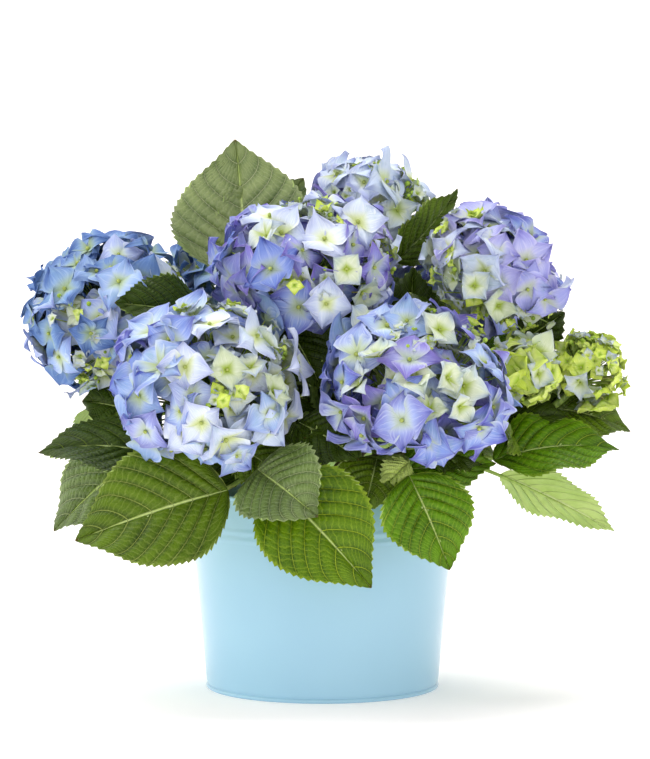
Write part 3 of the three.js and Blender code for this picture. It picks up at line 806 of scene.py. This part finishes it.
def grow_blade(sheaf, leaf, slot, chance):
    """Adds one toothed, quilted blade to the sheaf, with its underside."""
    teeth = max(TOOTH["fewest"], round(leaf.length / TOOTH["spacing"]))
    edge_share = (np.arange(teeth)[:, None] + np.array(TOOTH["rows"])).ravel() / teeth
    edge_share = np.append(edge_share, 1.0)
    rows = len(edge_share) - 1
    saw = np.append(np.tile(TOOTH["rise"], teeth), 0.0)
    edge_share, u = np.meshgrid(edge_share, np.linspace(-1, 1, COLUMNS + 1), indexing="ij")
    off = abs(u)
    row = VEINS * edge_share**CROWDING
    share = edge_share ** (SWEEP ** (1 - off**1.15))
    fade = np.clip(np.sin(np.pi * share) * 3, 0, 1)
    taper = 1 - 0.34 * smooth_step(0.66, 1, share) - 0.12 * (1 - smooth_step(0, 0.3, share))
    fullest = 0.5 * leaf.width
    half = np.maximum(fullest * blade_shape(share) * taper, 0.2)
    margin = off ** TOOTH["margin"]
    bite = TOOTH["depth"] * (0.75 + 0.5 * next(chance)) * saw[:, None] * margin * fade
    across = np.sign(u) * (off * half - TOOTH["depth"] * 0.4 * margin * fade + bite)
    wave_turn, wave_size = 2 * np.pi * next(chance), 1.0 + RELIEF["wave"] * next(chance)
    off_rib = abs((row % 1) - 0.5) * 2
    quilt = (1 - off_rib**2.5) * np.sin(np.pi * np.clip(off, 0, 1) ** 0.6) * fade
    droop = (0.35 - next(chance)) * RELIEF["droop"]
    twist = swing(chance) * RELIEF["twist"]
    above = (
        BLADE["fold"] * abs(across)
        + RELIEF["quilt"] * quilt
        - RELIEF["groove"] * np.exp(-((across / RELIEF["groove_half"]) ** 2)) * fade
        + wave_size * np.sin(2 * np.pi * (2.2 * share + 0.15 * u) + wave_turn) * off**2.2 * fade
        + droop * (across / fullest) ** 2
        + twist * across * share
    )
    top = leaf.place(share, across, above)
    thick = RELIEF["thick"] * (1 - off**6) * fade + 0.02
    under = leaf.place(share, across, above - thick)
    uv = np.stack([0.5 + 0.5 * u, row], axis=-1)
    index = np.arange(u.size).reshape(u.shape)
    edge = (off == 1) | (edge_share == 0) | (edge_share == 1)
    lower = np.where(edge, index, u.size + np.cumsum(~edge).reshape(u.shape) - 1)
    points = np.concatenate([top.reshape(-1, 3), under[~edge]])
    maps = np.concatenate([uv.reshape(-1, 2), uv[~edge]])
    face = grid_quads(rows, COLUMNS)
    quads = np.concatenate([face[:, ::-1], lower.ravel()[face]])
    slots = np.concatenate([np.full(len(face), slot), np.full(len(face), len(LEAF_TONES))])
    sheaf.add(points, quads, slots, maps, next(chance))


def grow_petiole(sheaf, leaf, cane, slot):
    """Adds a leaf's stalk, which runs on under the blade as its midrib."""
    count, under, below = STALK["steps"], STALK["under"], STALK["below"]
    steps = np.linspace(0, 1, count + 1)[:-1]
    share = np.linspace(PETIOLE["meets"], STALK["ends"], under)
    free = STALK["thick"] - STALK["slims_by"] * np.sin(steps * np.pi / 2)
    radii = np.concatenate([free, np.linspace(below, STALK["tip"], under)])
    sunk = leaf.place(PETIOLE["meets"], 0, -below - radii[count]) - leaf.place(PETIOLE["meets"], 0, 0)
    stalk = leaf.petiole(cane).at(steps) + sunk * steps[:, None] ** 2
    midrib = leaf.place(share, np.zeros(under), -below - radii[count:])
    points, quads, uv = tube_along(np.concatenate([stalk, midrib]), radii, 6)
    sheaf.add(points, quads, slot, uv, 0.5)


def young_leaves(chance):
    """Smaller leaves on every cane, turned to wherever there is room between the flower heads."""
    for name, shoot in SHOOTS.items():
        for along in YOUNG["along"]:
            start = next(chance) * 2 * math.pi
            for i in range(YOUNG["turns"]):
                turn = start + 2 * math.pi * i / YOUNG["turns"]
                length = YOUNG["length"] + YOUNG["spread"] * swing(chance)
                tone = PAIR_TONES[int(next(chance) * len(PAIR_TONES))]
                leaf = paired_leaf(name, along, turn, length, tone)
                spots = leaf.spots()
                x, y, z = spots.T
                over_rim = np.hypot(x, y) > ROOM["rim"] - YOUNG["clear"]
                low = z < np.where(over_rim, ROOM["rim_top"] + YOUNG["over_rim"], SOIL_LEVEL + YOUNG["clear"])
                outside = (abs(x) > YOUNG["half_width"]) | (abs(y) > YOUNG["half_depth"])
                heads = any(inside_head(spots, other, YOUNG["head"]).any() for other in SHOOTS.values())
                if not (low | outside).any() and not heads:
                    yield leaf


def grow_foliage(name, leaves, finishes):
    """One cane's leaves and petioles as one piece."""
    chance = seeded(SEED + 7 * SHOOTS[name]["bearing"] + 1)
    cane = cane_curve(SHOOTS[name])
    sheaf = Sheaf()
    tones = list(LEAF_TONES)
    for leaf in leaves:
        grow_blade(sheaf, leaf, tones.index(leaf.tone), chance)
        grow_petiole(sheaf, leaf, cane, len(tones) + 1)
    return sheaf.build(f"leaves_{name}", finishes, sharp_angle=60)


# ---------------------------------------------------------------- florets
PETAL = {"along": 8, "across": 6, "fullest": 0.42, "foot": 0.24, "steepest": 0.5}
BEAD = ball()
FIVE_PETALS = 0.9  # a draw over this gives a floret five petals
# A head's groups of buds: how many, their radius in mm, the share that is shut tight, and how wide the others
# are at least and how much they vary.
CLUSTER = {"count": 6, "reach": 12, "closed": 0.35, "bud": 6, "varies": 8}
# What makes a floret younger and how much, and the ages at which it takes the next, younger tone of its head.
AGE = {"side": 0.8, "varies": 1.4, "head": 1.6, "least": -0.6}
AGES = (-0.1, 0.45, 0.95)
YOUNGEST = len(AGES)
DEPTH = {"deep": 0.7, "near": 0.83, "spread": 0.12}  # how far out florets sit, as shares of the head's form
HALF_OPEN = {"young": 0.8, "bud": 0.65}
STALK_SHARE = {"floret": 0.7, "bud": 0.5}  # how thick the stalks inside a head are, as shares of the thickest


def petal(length, width, lift, cup, fold, ripple, turn):
    """One pointed petal lying along +X with its face up: its points, from the eye to the tip."""
    steps = np.linspace(0, 1, PETAL["along"] + 1), np.linspace(-1, 1, PETAL["across"] + 1)
    a, b = np.meshgrid(*steps, indexing="ij")
    foot, fullest = PETAL["foot"], PETAL["fullest"]
    rising = foot + (1 - foot) * np.sin(np.pi / 2 * np.clip(a / fullest, 0, 1)) ** 1.2
    falling = (1 - np.clip((a - fullest) / (1 - fullest), 0, 1) ** 1.3) ** 1.15
    half = 0.5 * width * rising * falling + 0.08
    x = length * (a - 0.06 * b**2 * np.sin(np.pi * a))
    y = half * b
    curl = length * (lift * a + cup * a**2 - 0.12 * a**6)
    wave = ripple * np.sin(4.2 * b + turn) * a**2
    frill = 0.07 * length * np.sin(7 * a + 2 * b + turn) * b**2 * a
    z = curl + fold * abs(b) * half + wave + frill
    uv = np.stack([a, 0.5 + 0.5 * b], axis=-1)
    return np.stack([x, y, z], axis=-1).reshape(-1, 3), uv.reshape(-1, 2)


def head_turn(shoot):
    """The turn from upright to the way a flower head faces, as the solids have it."""
    return np.array(Vector((0, 0, 1)).rotation_difference(Vector(head_axis(shoot))).to_matrix())


def head_directions(count, lowest):
    """The golden-angle spiral from a head's top down to its skirt."""
    level = 1 - (1 - lowest) * (np.arange(count) + 0.5) / count
    ring = np.sqrt(1 - level**2)
    turn = np.arange(count) * math.pi * (3 - math.sqrt(5))
    return np.stack([ring * np.cos(turn), ring * np.sin(turn), level], axis=-1)


def jitter(chance, size):
    return vec([swing(chance) for _ in range(3)]) * 2 * size


def grow_floret(sheaf, middle, out, size, tone, bead, chance, opened):
    """Adds one floret: four or five broad pointed petals round a small bead."""
    count = 5 if next(chance) > FIVE_PETALS else 4
    spin = next(chance) * 2 * np.pi
    level = unit(np.cross(out, (0.31, 0.17, 0.94)))
    rise = np.cross(out, level)
    shade = next(chance)
    lift = 0.1 + 0.35 * next(chance)
    cup = -0.3 * next(chance) - 0.1
    fold = 0.8 * (next(chance) - 0.42)
    quads = grid_quads(PETAL["along"], PETAL["across"])[:, ::-1]
    for k in range(count):
        angle = spin + 2 * np.pi * k / count + 0.5 * swing(chance)
        length = 0.5 * size * (0.9 + 0.3 * next(chance))
        width = length * (1.04 + 0.26 * next(chance)) * 4 / count
        raised = min(lift + 0.2 * (k % 2) + 0.34 * swing(chance), PETAL["steepest"]) + 1.2 * (1 - opened)
        cupped, folded = cup + 0.5 * swing(chance), fold + 0.3 * swing(chance)
        ripple, turn = 0.2 * length * next(chance), 6.3 * next(chance)
        points, uv = petal(length, width, raised, cupped, folded, ripple, turn)
        ahead = level * math.cos(angle) + rise * math.sin(angle)
        aside = np.cross(out, ahead)
        placed = middle + points[:, :1] * ahead + points[:, 1:2] * aside + points[:, 2:] * out
        sheaf.add(placed, quads, tone, uv, shade)
    grow_bead(sheaf, middle + out * 0.04 * size, 0.03 * size + 0.3, bead)


def grow_bead(sheaf, middle, radius, tone):
    points, quads, uv = BEAD
    sheaf.add(middle + points * radius, quads, tone, uv, 0.5)


def grow_head(name, petals, stalks, tones):
    """One flower head: florets over its whole form, buds in the gaps between them, and the stalks inside."""
    shoot = SHOOTS[name]
    chance = seeded(SEED + 13 * shoot["bearing"] + 5)
    turn, centre, axis = head_turn(shoot), vec(shoot["centre"]), head_axis(shoot)
    size = vec((shoot["radius"], shoot["radius"], shoot["half"]))
    fork = centre - axis * 0.5 * shoot["half"]
    order = [tones.index(tone) for tone in HEAD_TONES[shoot["colour"]]]
    eye, bud = len(tones), len(tones) + 1
    pale = unit(shoot["pale"])
    lowest = math.cos(math.radians(shoot.get("skirt", SKIRT)))

    def stalk_to(middle, thickness):
        bow = Curve(fork, fork + (middle - fork) * 0.5 + axis * 3, middle)
        points, quads, uv = tube_along(bow.at(np.linspace(0, 1, 5)), np.linspace(1.3, 0.8, 5) * thickness, 4)
        stalks.add(points, quads, 0, uv, next(chance))

    young_side, upward = 0.8 * turn.T @ pale, vec((0, 0, 0.4))
    clusters = [unit(jitter(chance, 1) + young_side + upward) for _ in range(CLUSTER["count"])]
    near_cluster = math.cos(CLUSTER["reach"] / shoot["half"])
    bud_spread = 1.3 * CLUSTER["reach"] / shoot["half"]
    for i, direction in enumerate(head_directions(shoot["florets"], lowest)):
        direction = unit(direction + jitter(chance, 0.1))
        deep = i % 3 == 2
        normal = unit(turn @ (direction / size))
        out = unit(normal + jitter(chance, 0.5))
        span = shoot["size"] * (0.88 + 0.28 * next(chance)) * (0.85 if deep else 1)
        share = DEPTH["deep"] if deep else DEPTH["near"] + DEPTH["spread"] * next(chance)
        share = share - 0.06 * span / shoot["half"] - shoot.get("held_in", 0)
        age = AGE["side"] * float(normal @ pale) + AGE["varies"] * swing(chance)
        age = age + AGE["head"] * shoot["young"] + AGE["least"]
        level = int(np.digitize(age, AGES))
        if max(float(direction @ cluster) for cluster in clusters) > near_cluster:
            level, share, span = YOUNGEST, share - 0.1, 0.8 * span
        opened = shoot.get("open", 1)
        if level == YOUNGEST:
            span *= 0.72
            opened = min(opened, HALF_OPEN["young"])
        middle = centre + turn @ (direction * size * share)
        grow_floret(petals, middle, out, span, order[level], eye, chance, opened)
        stalk_to(middle - out * 0.3, STALK_SHARE["floret"])
    for i in range(shoot["buds"]):
        direction = unit(clusters[i % CLUSTER["count"]] + jitter(chance, bud_spread))
        direction[2] = max(direction[2], lowest)
        middle = centre + turn @ (direction * size * (0.76 + 0.16 * next(chance)))
        out = unit(turn @ direction + jitter(chance, 0.3))
        if next(chance) > CLUSTER["closed"]:
            tone = tones.index("lime" if next(chance) + 0.45 * shoot["young"] > 0.7 else "cream")
            span = CLUSTER["bud"] + CLUSTER["varies"] * next(chance)
            grow_floret(petals, middle, out, span, tone, bud, chance, HALF_OPEN["bud"])
        else:
            grow_bead(petals, middle, 1.2 + 0.8 * next(chance), bud)
        stalk_to(middle - out * 0.3, STALK_SHARE["bud"])


# ---------------------------------------------------------------- settings
def number_property(name, description, default, **more):
    return bpy.props.FloatProperty(name=name, description=description, default=default, **more)


def length_property(name, description, default):
    return number_property(name, description, default, unit="LENGTH", precision=4)


def colour_property(name, description, default):
    return bpy.props.FloatVectorProperty(
        name=name, description=description, default=linear(default)[:3], size=3, subtype="COLOR", min=0, max=1
    )


class PotSettings(bpy.types.PropertyGroup):
    height: length_property("Height", "Height of the pot over its rolled rim", 137 * MM)
    foot_radius: length_property("Foot radius", "Radius of the wall at the foot", 78.3 * MM)
    wall: length_property("Wall", "Thickness of the wall", 1.2 * MM)
    roll: length_property("Rim roll", "Radius of the rolled rim", 1.2 * MM)
    rib: length_property("Rib rise", "How far the two ribs stand out", 0.4 * MM)
    flare: number_property("Flare", "Outward lean of the wall", 0.0925)
    sides: bpy.props.IntProperty(name="Sides", description="Facets round the pot", default=160, min=24)


class PlantSettings(bpy.types.PropertyGroup):
    cane_foot: length_property("Cane foot", "Radius of a cane at the crown", 3.1 * MM)
    cane_tip: length_property("Cane tip", "Radius of a cane under its flower head", 2.1 * MM)


class StudioSettings(bpy.types.PropertyGroup):
    camera_distance: length_property("Camera distance", "From the pot's axis to the camera", 2.8)
    camera_height: length_property("Camera height", "Height of the camera over the floor", 0.44)
    aim_height: length_property("Aim height", "Height that the camera looks at", 0.209)
    lens: number_property("Lens", "Focal length", 197, unit="CAMERA")
    floor: colour_property("Floor", "Colour of the floor", "fbf6f4")
    floor_glow: number_property("Floor glow", "Light given off by the floor", 0.2)
    front_panel: number_property("Front panel", "Brightness of the panel in front", 0.4)
    left_panel: number_property("Left panel", "Brightness of the panel on the left", 1.15)
    right_panel: number_property("Right panel", "Brightness of the panel on the right", 0.1)
    room: number_property("Room", "Brightness of the whole room", 1.07)
    sun: number_property("Overhead", "Strength of the light overhead", 2.1)


# ---------------------------------------------------------------- operators
# How far in from the foot's radius the underside, the bead and the floor inside turn, in mm, and up the pot:
# its foot bead, the groove over the bead with its depth there, where the plain wall is drawn, the middles of
# the two ribs, half a rib's height, and where the neck and the inside are drawn.
POT = {
    "underside_in": (2, 0.6), "bead_in": 0.8, "floor_in": 6,
    "bead": 1.5, "groove": ((3.1, 0.5), (3.7, 0.5), (4.4, 0.1), (5.2, 0)), "wall": (20, 50, 80, 100),
    "ribs": (107.4, 113.2), "rib_half": 2.75, "neck": (118, 128), "inside": (128, 90, 40),
}
CANE_STEPS = 22
NODE = {"swell": 0.28, "spread": 0.03, "limit": 0.4}  # how a cane swells where it bears leaves
SKINNED = 1.2  # how much larger a skin is given than it comes out
CAMERA_SIDE = 1.7 * MM  # how far the camera stands to the side of the pot's axis


class HYDRANGEA_OT_pot(bpy.types.Operator):
    """Model the painted metal pot"""

    bl_idname = "hydrangea.pot"
    bl_label = "Pot"

    def execute(self, context):
        pot = context.scene.hydrangea_pot

        def wall(height):
            return pot.foot_radius + pot.flare * height

        def arc(radius, height, size, start, end, steps):
            for i in range(steps + 1):
                angle = math.radians(start + (end - start) * i / steps)
                yield radius + size * math.cos(angle), height + size * math.sin(angle)

        bead, foot = POT["bead"] * MM, pot.foot_radius
        profile = [(foot - far * MM, 0) for far in POT["underside_in"]]
        profile += arc(foot - POT["bead_in"] * MM, bead, bead, start=-70, end=70, steps=8)
        profile += [(wall(h * MM) - sunk * MM, h * MM) for h, sunk in POT["groove"]]
        profile += [(wall(h * MM), h * MM) for h in POT["wall"]]
        for middle in POT["ribs"]:
            for i in range(9):
                share = -1 + i / 4
                height = middle * MM + share * POT["rib_half"] * MM
                rise = pot.rib * (math.cos(math.pi * share) * 0.6 + 0.4)
                profile.append((wall(height) + rise, height))
        profile += [(wall(h * MM), h * MM) for h in POT["neck"]]
        roll_at = pot.height - pot.roll
        under_roll = roll_at - pot.roll * 1.5
        profile += [(wall(under_roll), under_roll)]
        profile += arc(wall(roll_at), roll_at, pot.roll, start=-60, end=170, steps=12)
        profile += [(wall(h * MM) - pot.wall, h * MM) for h in POT["inside"]]
        profile += [(wall(pot.wall) - pot.wall, pot.wall), (foot - POT["floor_in"] * MM, pot.wall)]
        piece = drawn_up("painted_pot", profile, pot.sides, smooth=35)
        piece.data.materials.append(pot_paint())
        placed_on_root(piece, "pot_paint", "pot")
        return {"FINISHED"}


class HYDRANGEA_OT_soil(bpy.types.Operator):
    """Model the potting soil with its crumbled top"""

    bl_idname = "hydrangea.soil"
    bl_label = "Soil"

    def execute(self, context):
        low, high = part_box("soil")
        edge, foot, top = high[0], low[2], high[2]
        taper = context.scene.hydrangea_pot.flare * (top - foot)
        dip, level_to = SOIL_DIP * MM, 0.3
        profile = [(edge - taper, foot), (edge, top - dip)]
        for share in (0.95, 0.85, 0.7, 0.55, 0.4):
            profile.append((edge * share, top - dip * (share - level_to) / (1 - level_to)))
        profile += [(edge * share, top) for share in (level_to, 0.2, 0.1)]
        piece = drawn_up("crumbled_soil", profile, sides=96, smooth=60)
        loose = piece.vertex_groups.new(name="top")
        loose.add([v.index for v in piece.data.vertices if v.co.z > top - 3.5 * MM], 1.0, "REPLACE")
        apply_modifier(piece, "SUBSURF", subdivision_type="SIMPLE", levels=1, render_levels=1)
        roughened(piece, "soil_lumps", size=9 * MM, depth=3 * MM, middle=0.75, group="top")
        piece.data.materials.append(potting_soil())
        placed_on_root(piece, "soil", "soil")
        return {"FINISHED"}


class HYDRANGEA_OT_crown(bpy.types.Operator):
    """Model the short woody crown"""

    bl_idname = "hydrangea.crown"
    bl_label = "Crown"

    def execute(self, context):
        profile = []
        for i in range(CROWN["rings"] + 1):
            share = i / CROWN["rings"] * CROWN["closed"]
            radius = CROWN["radius"] + CROWN["flare"] * (1 - share) ** 3
            height = SOIL_LEVEL + CROWN["foot"] + share * CROWN["height"]
            profile.append((radius * math.sqrt(1 - share**5) * MM, height * MM))
        piece = drawn_up("woody_crown", profile, sides=40, smooth=60)
        apply_modifier(piece, "SUBSURF", levels=1, render_levels=1)
        roughened(piece, "bark_ridges", size=6 * MM, depth=2.2 * MM, middle=0.6)
        piece.data.materials.append(crown_bark())
        placed_on_root(piece, "bark", "crown")
        return {"FINISHED"}


class HYDRANGEA_OT_canes(bpy.types.Operator):
    """Draw each cane along its curve, swollen where it bears leaves"""

    bl_idname = "hydrangea.canes"
    bl_label = "Canes"

    def execute(self, context):
        foot, tip = context.scene.hydrangea_plant.cane_foot, context.scene.hydrangea_plant.cane_tip
        skin = cane_skin()
        leaves = all_leaves()
        for name, shoot in SHOOTS.items():
            curve = cane_curve(shoot)
            nodes = [leaf.along for leaf in leaves if leaf.shoot == name]
            stops = [curve.at(i / CANE_STEPS) * MM for i in range(CANE_STEPS + 1)]
            only()
            bpy.ops.mesh.primitive_plane_add(size=2 * MM, location=stops[0])
            piece = context.object
            piece.name = piece.data.name = f"green_cane_{name}"
            bpy.ops.object.transform_apply(location=True)
            bpy.ops.object.mode_set(mode="EDIT")
            bpy.ops.mesh.select_all(action="SELECT")
            bpy.ops.mesh.merge(type="CENTER")
            for here, there in zip(stops, stops[1:]):
                bpy.ops.mesh.extrude_region_move(TRANSFORM_OT_translate={"value": Vector(there - here)})
            bpy.ops.object.mode_set(mode="OBJECT")
            modifier = piece.modifiers.new("Skin", "SKIN")
            modifier.use_smooth_shade = True
            for i, point in enumerate(piece.data.skin_vertices[0].data):
                share = i / CANE_STEPS
                away = [(share - node) / NODE["spread"] for node in nodes]
                swell = sum(NODE["swell"] * math.exp(-(far**2)) for far in away)
                radius = (foot + (tip - foot) * share) * (1 + min(swell, NODE["limit"]))
                point.radius = (radius * SKINNED, radius * SKINNED)
            only(piece)
            bpy.ops.object.modifier_apply(modifier=modifier.name)
            apply_modifier(piece, "SUBSURF", levels=2, render_levels=2)
            piece.data.materials.append(skin)
            placed_on_root(piece, "green_cane", f"cane_{name}")
        return {"FINISHED"}


class HYDRANGEA_OT_foliage(bpy.types.Operator):
    """Grow each cane's leaves"""

    bl_idname = "hydrangea.foliage"
    bl_label = "Leaves"

    def execute(self, context):
        finishes = [leaf_finish(tone, *colours) for tone, colours in LEAF_TONES.items()]
        finishes += [leaf_underside(), petiole_skin()]
        leaves = all_leaves() + [Leaf(*row) for row in INNER_LEAVES]
        leaves += young_leaves(seeded(SEED + 3))
        for name in SHOOTS:
            piece = grow_foliage(name, [leaf for leaf in leaves if leaf.shoot == name], finishes)
            placed_on_root(piece, "leaf", f"foliage_{name}")
        return {"FINISHED"}


class HYDRANGEA_OT_flowers(bpy.types.Operator):
    """Grow each flower head's florets and the stalks inside it"""

    bl_idname = "hydrangea.flowers"
    bl_label = "Flower heads"

    def execute(self, context):
        tones = list(PETAL_TONES)
        finishes = [petal_finish(tone, *colours) for tone, colours in PETAL_TONES.items()]
        finishes += [bead_finish("eye", "b9c46a", "8f9f48"), bead_finish("bud", "b4cf52", "86a832")]
        stalk = petiole_skin()
        slots = {node["node"]: node["material_slot"] for node in frame["record"]["subparts"]}
        for name in SHOOTS:
            petals, stalks = Sheaf(), Sheaf()
            grow_head(name, petals, stalks, tones)
            piece = petals.build(f"florets_{name}", finishes)
            placed_on_root(piece, slots[f"flowers_{name}"], f"flowers_{name}")
            rays = stalks.build(f"flower_stalks_{name}", [stalk])
            placed_on_root(rays, "green_cane")
        return {"FINISHED"}


class HYDRANGEA_OT_stage(bpy.types.Operator):
    """Set the floor, the soft studio light and the camera"""

    bl_idname = "hydrangea.stage"
    bl_label = "Studio"

    def execute(self, context):
        scene, studio = context.scene, context.scene.hydrangea_studio
        white = (1, 1, 1, 1)
        only()
        bpy.ops.mesh.primitive_circle_add(vertices=96, radius=40, fill_type="NGON")
        floor = context.object
        floor.name = floor.data.name = "pale_floor"
        paper = Finish("floor_paper", Specular_IOR_Level=0.1, Roughness=0.9)
        paper.wire(Emission_Color=white, Emission_Strength=studio.floor_glow)
        paper.wire(Base_Color=tuple(studio.floor) + (1.0,))
        floor.data.materials.append(paper.material)

        world = bpy.data.worlds.new("studio_light")
        scene.world = world
        world.use_nodes = True
        sky = Nodes(world.node_tree)
        direction = sky.node("ShaderNodeTexCoord")["Generated"]

        def towards(way):
            values = {"Vector": direction, "Vector_001": tuple(unit(way))}
            return sky.node("ShaderNodeVectorMath", {"operation": "DOT_PRODUCT"}, values)["Value"]

        level = 1 - towards((0, 0, 1)).rise(0.08, 0.3) * 0.38
        for way, edge, brightness in (
            ((0, -1, 0.1), 0.5, studio.front_panel),
            ((-0.95, 0.1, 0.3), 0.6, studio.left_panel),
            ((0.9, 0.2, 0.35), 0.6, studio.right_panel),
        ):
            level = level + towards(way).rise(edge, 0.97) * brightness
        background = world.node_tree.nodes["Background"].inputs
        sky.fill(background["Color"], white)
        sky.fill(background["Strength"], level * studio.room)

        def held(name, data, place, back):
            """A light or camera at a place, pointing away from back."""
            holder = bpy.data.objects.new(name, data)
            turn = back.to_track_quat("Z", "Y").to_matrix().to_4x4()
            holder.matrix_world = Matrix.Translation(place) @ turn
            scene.collection.objects.link(holder)
            return holder

        sun = bpy.data.lights.new("overhead_sun", "SUN")
        sun.energy, sun.angle = studio.sun, math.radians(45)
        held("overhead_sun", sun, Vector(), Vector((-0.06, 0.4, 1.0)))

        view = bpy.data.cameras.new("camera")
        view.lens, view.sensor_width = studio.lens, 36
        place = Vector((CAMERA_SIDE, -studio.camera_distance, studio.camera_height))
        aim = Vector((CAMERA_SIDE, 0, studio.aim_height))
        scene.camera = held("camera", view, place, place - aim)
        scene.view_settings.view_transform = "Standard"
        return {"FINISHED"}


class HYDRANGEA_PT_panel(bpy.types.Panel):
    """The plant's settings and its pieces"""

    bl_label = "Potted hydrangea"
    bl_space_type = "VIEW_3D"
    bl_region_type = "UI"
    bl_category = "Hydrangea"

    def draw(self, context):
        for label, (attribute, _) in SETTINGS.items():
            box = self.layout.box()
            box.label(text=label)
            settings = getattr(context.scene, attribute)
            for key in settings.bl_rna.properties.keys():
                if key not in ("rna_type", "name"):
                    box.prop(settings, key)
        for operator in OPERATORS:
            self.layout.operator(operator.bl_idname)


SETTINGS = {
    "Pot": ("hydrangea_pot", PotSettings),
    "Plant": ("hydrangea_plant", PlantSettings),
    "Studio": ("hydrangea_studio", StudioSettings),
}
OPERATORS = (
    HYDRANGEA_OT_stage,
    HYDRANGEA_OT_pot,
    HYDRANGEA_OT_soil,
    HYDRANGEA_OT_crown,
    HYDRANGEA_OT_canes,
    HYDRANGEA_OT_foliage,
    HYDRANGEA_OT_flowers,
)


def register():
    for attribute, group in SETTINGS.values():
        bpy.utils.register_class(group)
        setattr(bpy.types.Scene, attribute, bpy.props.PointerProperty(type=group))
    for operator in OPERATORS:
        bpy.utils.register_class(operator)
    bpy.utils.register_class(HYDRANGEA_PT_panel)


def unregister():
    bpy.utils.unregister_class(HYDRANGEA_PT_panel)
    for operator in reversed(OPERATORS):
        bpy.utils.unregister_class(operator)
    for attribute, group in SETTINGS.values():
        delattr(bpy.types.Scene, attribute)
        bpy.utils.unregister_class(group)


def main():
    register()
    for operator in OPERATORS:
        getattr(bpy.ops.hydrangea, operator.bl_idname.split(".")[1])()


if __name__ == "__main__":
    main()
